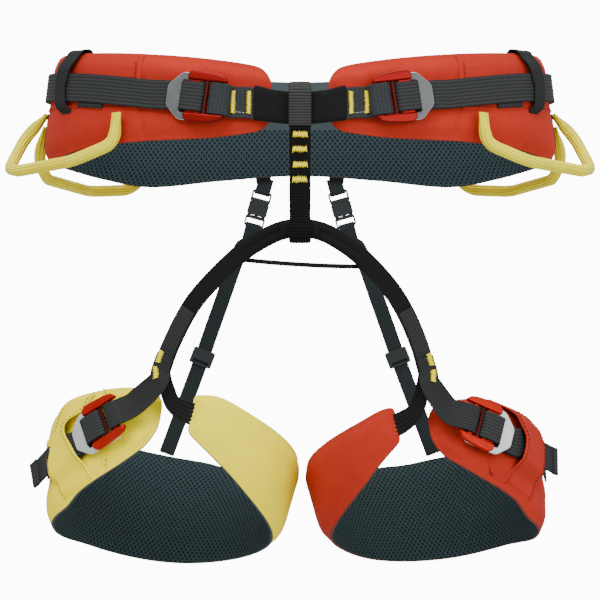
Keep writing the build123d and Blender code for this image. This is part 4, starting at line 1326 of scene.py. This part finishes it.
# ------------------------------------------------------------------------------------------- leg loops
# Edges of each pad seen from its front, drawn for a right leg. The inner thigh is at +X.
LEG_PADS = {
    "right": {
        "outer": (
            [(-95, 17), (-85, 20.5), (-66, 21), (-41, 22), (-12, 21), (-8, 20.5)],
            [(-95, -58), (-72, -58), (-61, -48), (-35, -31), (-12, -11), (-8, -8)],
        ),
        "inner": (
            [(4, 21), (9, 21.5), (28, 24.5), (56, 20), (79, 18), (95, 18)],
            [(4, 3), (7, 0), (13, -6), (41, -22), (68, -36), (95, -44)],
        ),
        "back": (
            [(-95, 17), (-60, 34), (-31, 39.5), (15, 40), (38, 35.5), (70, 24), (95, 18)],
            [(-95, -58), (-81, -57), (-64, -51), (-46, -48), (10, -45), (59, -41), (83, -40.5), (95, -44)],
        ),
        "keeper": (
            [(-60, 20.5), (-67, 5), (-71, -7), (-63, -22), (-51, -42)],
            [(-80, 20.5), (-85, 5), (-84.5, -10), (-80, -30), (-70, -54)],
        ),
        "seam": [(-54.6, 21.5), (-52, 8), (-48, -12), (-44.3, -35)],
        "ends": (-12.0, 9.0),
        "buckle": (-50, -9, 27),
        "tail": (-13.5, 12, -12.5),
        "colours": ("shell_yellow", "edge_yellow", "thread_gold"),
    },
    "left": {
        "outer": (
            [(-95, 15), (-83, 16.5), (-65, 20), (-45, 24), (-5, 21), (-1, 20)],
            [(-95, -56), (-70, -56), (-59, -44), (-34, -28.5), (-5, -9), (-1, -6)],
        ),
        "inner": (
            [(10, 23.5), (18, 24.5), (28, 24.5), (48, 20.5), (77, 17.5), (95, 18)],
            [(10, 7), (14, 4), (36, -11), (50, -21.5), (74, -34.5), (95, -40)],
        ),
        "back": (
            [(-95, 15), (-60, 30), (-17, 34), (12, 33), (36, 32), (70, 23), (95, 18)],
            [(-95, -56), (-77, -56), (-62, -50), (-47, -47), (-6, -45), (50, -41), (80, -36), (95, -38)],
        ),
        "keeper": (
            [(-58, 21), (-62.5, 6), (-65, -5), (-60, -20), (-50, -35)],
            [(-72, 18.5), (-78, 6), (-80, -5), (-76, -23), (-67, -47)],
        ),
        "seam": [(-51, 23), (-45, 5), (-41, -13), (-43, -31)],
        "ends": (-5.0, 17.0),
        "buckle": (-42, 1, 22),
        "tail": (-9, 9, -3.5),
        "colours": ("shell_red", "edge_red", "thread_red"),
    },
}

for word, side in SIDES:
    ring, look = LEGS[word], LEG_PADS[word]
    curves = {k: (curve_of(look[k][0]), curve_of(look[k][1])) for k in ("outer", "inner", "back")}
    bx, bz, bturn = look["buckle"]
    slope = math.tan(math.radians(bturn)) * 0.78

    def leg_edge(which, curves=curves):
        def height(across, front):
            return np.where(
                front,
                np.where(across < 0, curves["outer"][which](across), curves["inner"][which](across)),
                curves["back"][which](across),
            )
        return height

    def on_line(across, bx=bx, bz=bz, slope=slope):
        return bz + slope * (across - bx)

    keeper_low = curve_of([(z, x) for x, z in look["keeper"][0]])
    keeper_high = curve_of([(z, x) for x, z in look["keeper"][1]])

    def leg_held(across, height, front, bx=bx, on_line=on_line, low=keeper_low, high=keeper_high):
        strap = 1 - smoothstep((np.abs(height - on_line(across)) - 12) / 5)
        strap = strap * front * (across < bx + 22)
        keeper = smoothstep((across - high(height) + 3) / 3) * smoothstep((low(height) + 3 - across) / 3)
        return np.clip(np.maximum(strap, keeper * front), 0, 1)

    seam_curve = curve_of([(z, x) for x, z in look["seam"]])

    def leg_relief(across, height, front, on_line=on_line, bx=bx, seam_curve=seam_curve):
        d = np.abs(height - on_line(across)) - 10
        swell = 1.0 * np.exp(-((d - 7) ** 2) / 30) * (d > 0) * front * (across < bx + 30)
        fan = 0.5 * np.sin((across * 0.9 + height * 0.5) / 5.2) * np.exp(-((across - bx - 22) ** 2) / 300)
        groove = -0.8 * np.exp(-((across - seam_curve(height)) ** 2) / 2.2) * front
        wave = 0.6 * np.sin(across / 19 + height / 15 + 1.1 * np.sin(height / 21))
        return swell + fan * front + groove + wave * 0.6

    a0 = float(ring.angle(look["ends"][0]))
    a1 = float(ring.angle(look["ends"][1])) - 2 * math.pi
    leg_pad = pad(
        f"Leg pad {word}", ring, a0, a1, leg_edge(0), leg_edge(1), (12, 3),
        [look["colours"][0], look["colours"][1], "lining_leg"], leg_held, leg_relief, side,
    )
    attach(leg_pad, f"leg_loop_{word}")
    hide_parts(f"leg_shell_{word}", f"leg_foam_{word}", f"leg_lining_{word}")

    # adjustable webbing through the buckle
    plane = LEG_BUCKLE[word]

    def strap_run(start, stop, lift, ring=ring, on_line=on_line):
        x = np.linspace(start, stop, max(4, int(abs(stop - start) / 3)))
        h = on_line(x)
        angle = ring.angle(x, h)
        up = unit(ring.at(angle, h + 5, 2) - ring.at(angle, h, 2))
        return ring.at(angle, h, lift), up

    lower = strap_run(-84, bx - 24, LOWER_LAYER)
    tail = strap_run(bx - 24, -78, UPPER_LAYER)
    reach = np.array(look["tail"], float)
    base = tail[0][-1]
    droop = np.array([0, 0, 1.6])
    stub = base + reach * np.linspace(0.14, 1.16, 8)[:, None] - droop * np.linspace(0, 1, 8)[:, None] ** 2
    stub_up = np.repeat(tail[1][-1][None], 8, 0)
    tail = (np.vstack([tail[0][:-1], stub]), np.vstack([tail[1][:-1], stub_up]))
    threaded(
        f"Leg webbing {word}", plane, lower, tail, side,
        [f"leg_webbing_{word}"],
    )
    hem_out = ring.out(float(ring.angle(-80)), 0) * 1.1
    hem_path = base + reach * np.linspace(0.86, 1.2, 6)[:, None] + hem_out - droop
    hem = strap(f"Leg webbing hem {word}", hem_path, stub_up[:6], side, 20.4, 2.6, depth=0.2)
    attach(hem, f"leg_loop_{word}")
    draw_buckle("leg", plane, word, side, ["plate_leg", "plate_rim"], "slider_leg")

    # cloth keeper: a band from the pad's top edge over the webbing to its bottom edge
    s = np.linspace(0, 1, 46)
    inner, outer = (
        np.stack([np.interp(s, np.linspace(0, 1, len(edge)), edge[:, k]) for k in (0, 1)], 1)
        for edge in (smooth_path(points, 1.5) for points in look["keeper"])
    )
    t = np.array([0, 0.02, 0.07, 0.15, 0.25, 0.37, 0.5, 0.63, 0.75, 0.85, 0.93, 0.98, 1])
    grid = outer[:, None] + (inner - outer)[:, None] * t[:, None]
    over = on_line(grid[..., 0])
    rise = smoothstep((25 - np.abs(grid[..., 1] - over)) / 11)
    tuck = 3.4 * (1 - smoothstep(np.minimum(s, 1 - s) / 0.06))[:, None]
    hem_line = 0.5 * np.exp(-((np.minimum(t, 1 - t) * 25 - 2.0) ** 2) / 1.8)
    lift = 0.9 + (5.0 + 3.2 * t**2) * rise - tuck + hem_line - 0.6 * (np.minimum(t, 1 - t) < 0.01)
    lift = lift + 0.5 * np.sin(grid[..., 0] / 6 + grid[..., 1] / 9) * smoothstep(np.minimum(t, 1 - t) * 4)
    angle = ring.angle(grid[..., 0], grid[..., 1])
    front_face = ring.at(angle, grid[..., 1], lift)
    back_face = ring.at(angle, grid[..., 1], lift - 1.0)[:, ::-1]
    keeper = loft(
        f"Leg keeper {word}", np.concatenate([front_face, back_face], 1), [look["colours"][0]],
        np.concatenate([t * 25, t[::-1] * 25]), side,
    )
    subdivided(keeper)
    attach(keeper, f"leg_loop_{word}")
    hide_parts(f"leg_keeper_{word}")
    rows = []
    for k in (2, -3):
        edge_out = ring.out(angle[:, k], 0)
        edge_line = front_face[:, k] + edge_out * 0.15
        rows.append(stitches("Stitch", edge_line, edge_out, look["colours"][2], side))
    # sewn seam beside it
    seam, seam_out = line_on(ring, look["seam"], 0.35, 1.5)
    rows.append(stitches("Stitch", seam + seam_out * 0.5 + (1.6, 0, 0), seam_out, look["colours"][2], side))
    fold, _ = line_on(ring, look["seam"], 0.15, 1.5)
    d = lengths(fold)
    fold_radius = np.interp(d, [0, 4, d[-1] - 4, d[-1]], [0.5, 1.1, 1.1, 0.5])
    rows.append(tube("Seam fold", fold, fold_radius, look["colours"][0], side, 10))
    seams = merge(f"Leg stitching {word}", rows)
    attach(seams, f"leg_loop_{word}")

    # inner branch of the bridge, fanned out over the inner end of the pad
    top = np.array(SPLIT[word]) + (3.5, 1.0, 8.0)
    x0 = look["ends"][1]
    mid_h = 0.5 * (curves["inner"][0](x0) + curves["inner"][1](x0))
    tip = ring.at(float(ring.angle(x0 + 1)), mid_h, -3.6)
    edge_top = ring.at(float(ring.angle(x0 + 1)), mid_h + 9, 0)
    edge_up = unit(edge_top - ring.at(float(ring.angle(x0 - 4)), mid_h - 9, 0))
    sag = (top * 0.45 + tip * 0.55) + (-5.5, -3.0, -5.0)
    points = np.array([top + (1.0, 0.5, 9), top, sag, tip + (-2.5, -1.5, 0.5), tip + (5, 0.5, -1.5)])
    ups = np.array([(-0.75, 0.1, 0.45), (-0.8, 0.1, 0.55), (0.1, 0.0, 0.99), edge_up, edge_up])
    ups[:2] *= -1
    p = smooth_path(np.hstack([points, ups * 4]), 1.2)
    widths = np.interp(lengths(p[:, :3]) / lengths(p[:, :3])[-1], [0, 0.3, 0.75, 1], [8, 9, 14.5, 16.5])
    fan = ribbon(f"Leg inner strap {word}", p[:, :3], unit(p[:, 3:]), widths, 1.9, "fan", 3.1, 0.4, side)
    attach(fan, f"leg_loop_{word}")
    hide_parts(f"leg_inner_strap_{word}")

# ----------------------------------------------------------------------------------------- rear straps
REAR = Plane((-29.6, 116.3, -37), (1, 0, 0), (0, -1, 0.0616))
RELEASE_T = math.radians(-15.5)
RELEASE = Plane(
    REAR.point((-2.3, -23.5))[0], REAR.x * math.cos(RELEASE_T) + REAR.y * math.sin(RELEASE_T), REAR.z
)


def strap_through_eye(bar, upward, far):
    """Path of a strap from afar, round an eye's bar and back on itself, in REAR plane points."""
    turn = [(0, bar + upward * 5.5, 1.9), (0, bar + upward * 1.6, 2.9), (0, bar - upward * 1.2, 2.3)]
    turn += [(0, bar - upward * 1.9, 0.7), (0, bar - upward * 1.2, -0.9), (0, bar + upward * 1.6, -1.5)]
    turn += [(0, bar + upward * 5.5, -0.5), (0, bar + upward * 11, -0.1)]
    return np.vstack([far, RELEASE.point(turn)])


def rear_strap(name, path, side):
    return ribbon(name, path, -RELEASE.x, 11.5, 1.1, "rear", 1.4, 0.1, side)


for word, side in SIDES:
    # upper strap
    far = REAR.point([(0.5, 30, 0.7), (0.6, 12, 0.7), (1.6, 0, 0.9)])
    path = smooth_path(strap_through_eye(12.9, 1, far), 1.0)
    upper = rear_strap(f"Rear strap upper {word}", path, side)
    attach(upper, "waist_belt")
    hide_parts(f"rear_strap_upper_{word}")
    # lower strap, in two lengths that meet
    first = REAR.point([(-46.9, -143.3, 0.7), (-30, -95, 0.7), (-16, -56, 0.7)])
    line = smooth_path(np.vstack([first, RELEASE.point([(0, -29.5, 0.7)])]), 1.0)
    path = smooth_path(strap_through_eye(-14.0, -1, line), 1.0)
    path = path[path[:, 2] > -150]
    lower = rear_strap(f"Rear strap lower {word}", path, side)
    start, end = (in_metres(REAR.point(q)[0], side) for q in ((-14, -47), (-30, -94)))
    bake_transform(lower)
    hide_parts(f"rear_strap_lower_{word}")
    second = REAR.point([(-35, -109, 0.7), (-46.9, -143.3, 0.7), (-59, -176, 0.7), (-71.5, -210, 0.7)])
    path = smooth_path(second, 1.2)
    path = path[path[:, 2] < -148.5]
    end_piece = rear_strap(f"Rear strap end {word}", path, side)
    start, end = (in_metres(REAR.point(q)[0], side) for q in ((-54, -148), (-68, -200)))
    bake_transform(end_piece)
    for node in (f"rear_buckle_female_{word}", f"rear_buckle_male_{word}", f"rear_adjuster_{word}"):
        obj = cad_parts[node]
        obj.data.materials.clear()
        obj.data.materials.append(MAT["trim"])
        soft = obj.modifiers.new("Soft edges", "BEVEL")
        soft.width, soft.segments = 0.0004, 2
        soft.limit_method, soft.angle_limit = "ANGLE", math.radians(50)

# ------------------------------------------------------------------------------------- stage and camera
FLOOR_REACH = 9.0                # metres to each side and towards the camera
SWEEP_START, SWEEP_RADIUS = 7.0, 1.5
low = float(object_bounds()[0][2])
sweep = [
    (SWEEP_START + SWEEP_RADIUS * math.sin(a), SWEEP_RADIUS - SWEEP_RADIUS * math.cos(a))
    for a in np.linspace(0.1, math.pi / 2, 12)
]
backdrop = [(-FLOOR_REACH, 0.0), (SWEEP_START, 0.0), *sweep, (SWEEP_START + SWEEP_RADIUS, 6.0)]
tools = bmesh.new()
rows = [[tools.verts.new((x, y, z + low - 0.0005)) for y, z in backdrop] for x in (-FLOOR_REACH, FLOOR_REACH)]
for k in range(len(backdrop) - 1):
    tools.faces.new((rows[0][k], rows[1][k], rows[1][k + 1], rows[0][k + 1]))
mesh = bpy.data.meshes.new("Floor")
tools.to_mesh(mesh)
tools.free()
for poly in mesh.polygons:
    poly.use_smooth = True
floor = bpy.data.objects.new("floor", mesh)
bpy.context.scene.collection.objects.link(floor)
s = Shader("Studio floor")
s.set(Base_Color=(0.95, 0.95, 0.95), Roughness=0.8, Emission_Color=(1, 1, 1), Emission_Strength=11.0)
mesh.materials.append(s.material)
# the floor looks white but throws no light of its own on the harness
floor.visible_diffuse = floor.visible_glossy = False


def area_light(name, location, target, size, power):
    data = bpy.data.lights.new(name, "AREA")
    data.shape = "RECTANGLE"
    data.size, data.size_y = size
    data.energy = power
    light = bpy.data.objects.new(name, data)
    light.location = location
    light.rotation_euler = (Vector(target) - Vector(location)).to_track_quat("-Z", "Y").to_euler()
    bpy.context.scene.collection.objects.link(light)


area_light("Key", (-0.6, -1.7, 1.3), (0, 0, -0.13), (1.2, 0.9), 36)
area_light("Fill", (1.3, -1.5, 0.3), (0, 0, -0.15), (1.2, 1.2), 19)
area_light("Top", (0, 0.1, 1.5), (0, 0, -0.1), (1.6, 1.2), 22)
world = bpy.data.worlds.new("Studio")
world.use_nodes = True
background = world.node_tree.nodes["Background"]
background.inputs[0].default_value = (1, 1, 1, 1)
background.inputs[1].default_value = 1.0
bpy.context.scene.world = world

camera = bpy.data.objects.new("Camera", bpy.data.cameras.new("Camera"))
camera.location = (0, -2.0, -0.13)
camera.rotation_euler = (math.pi / 2, 0, 0)
camera.data.lens = 166.7
camera.data.sensor_width = 36
camera.data.clip_end = 40
bpy.context.scene.collection.objects.link(camera)
bpy.context.scene.camera = camera

bpy.context.view_layer.update()
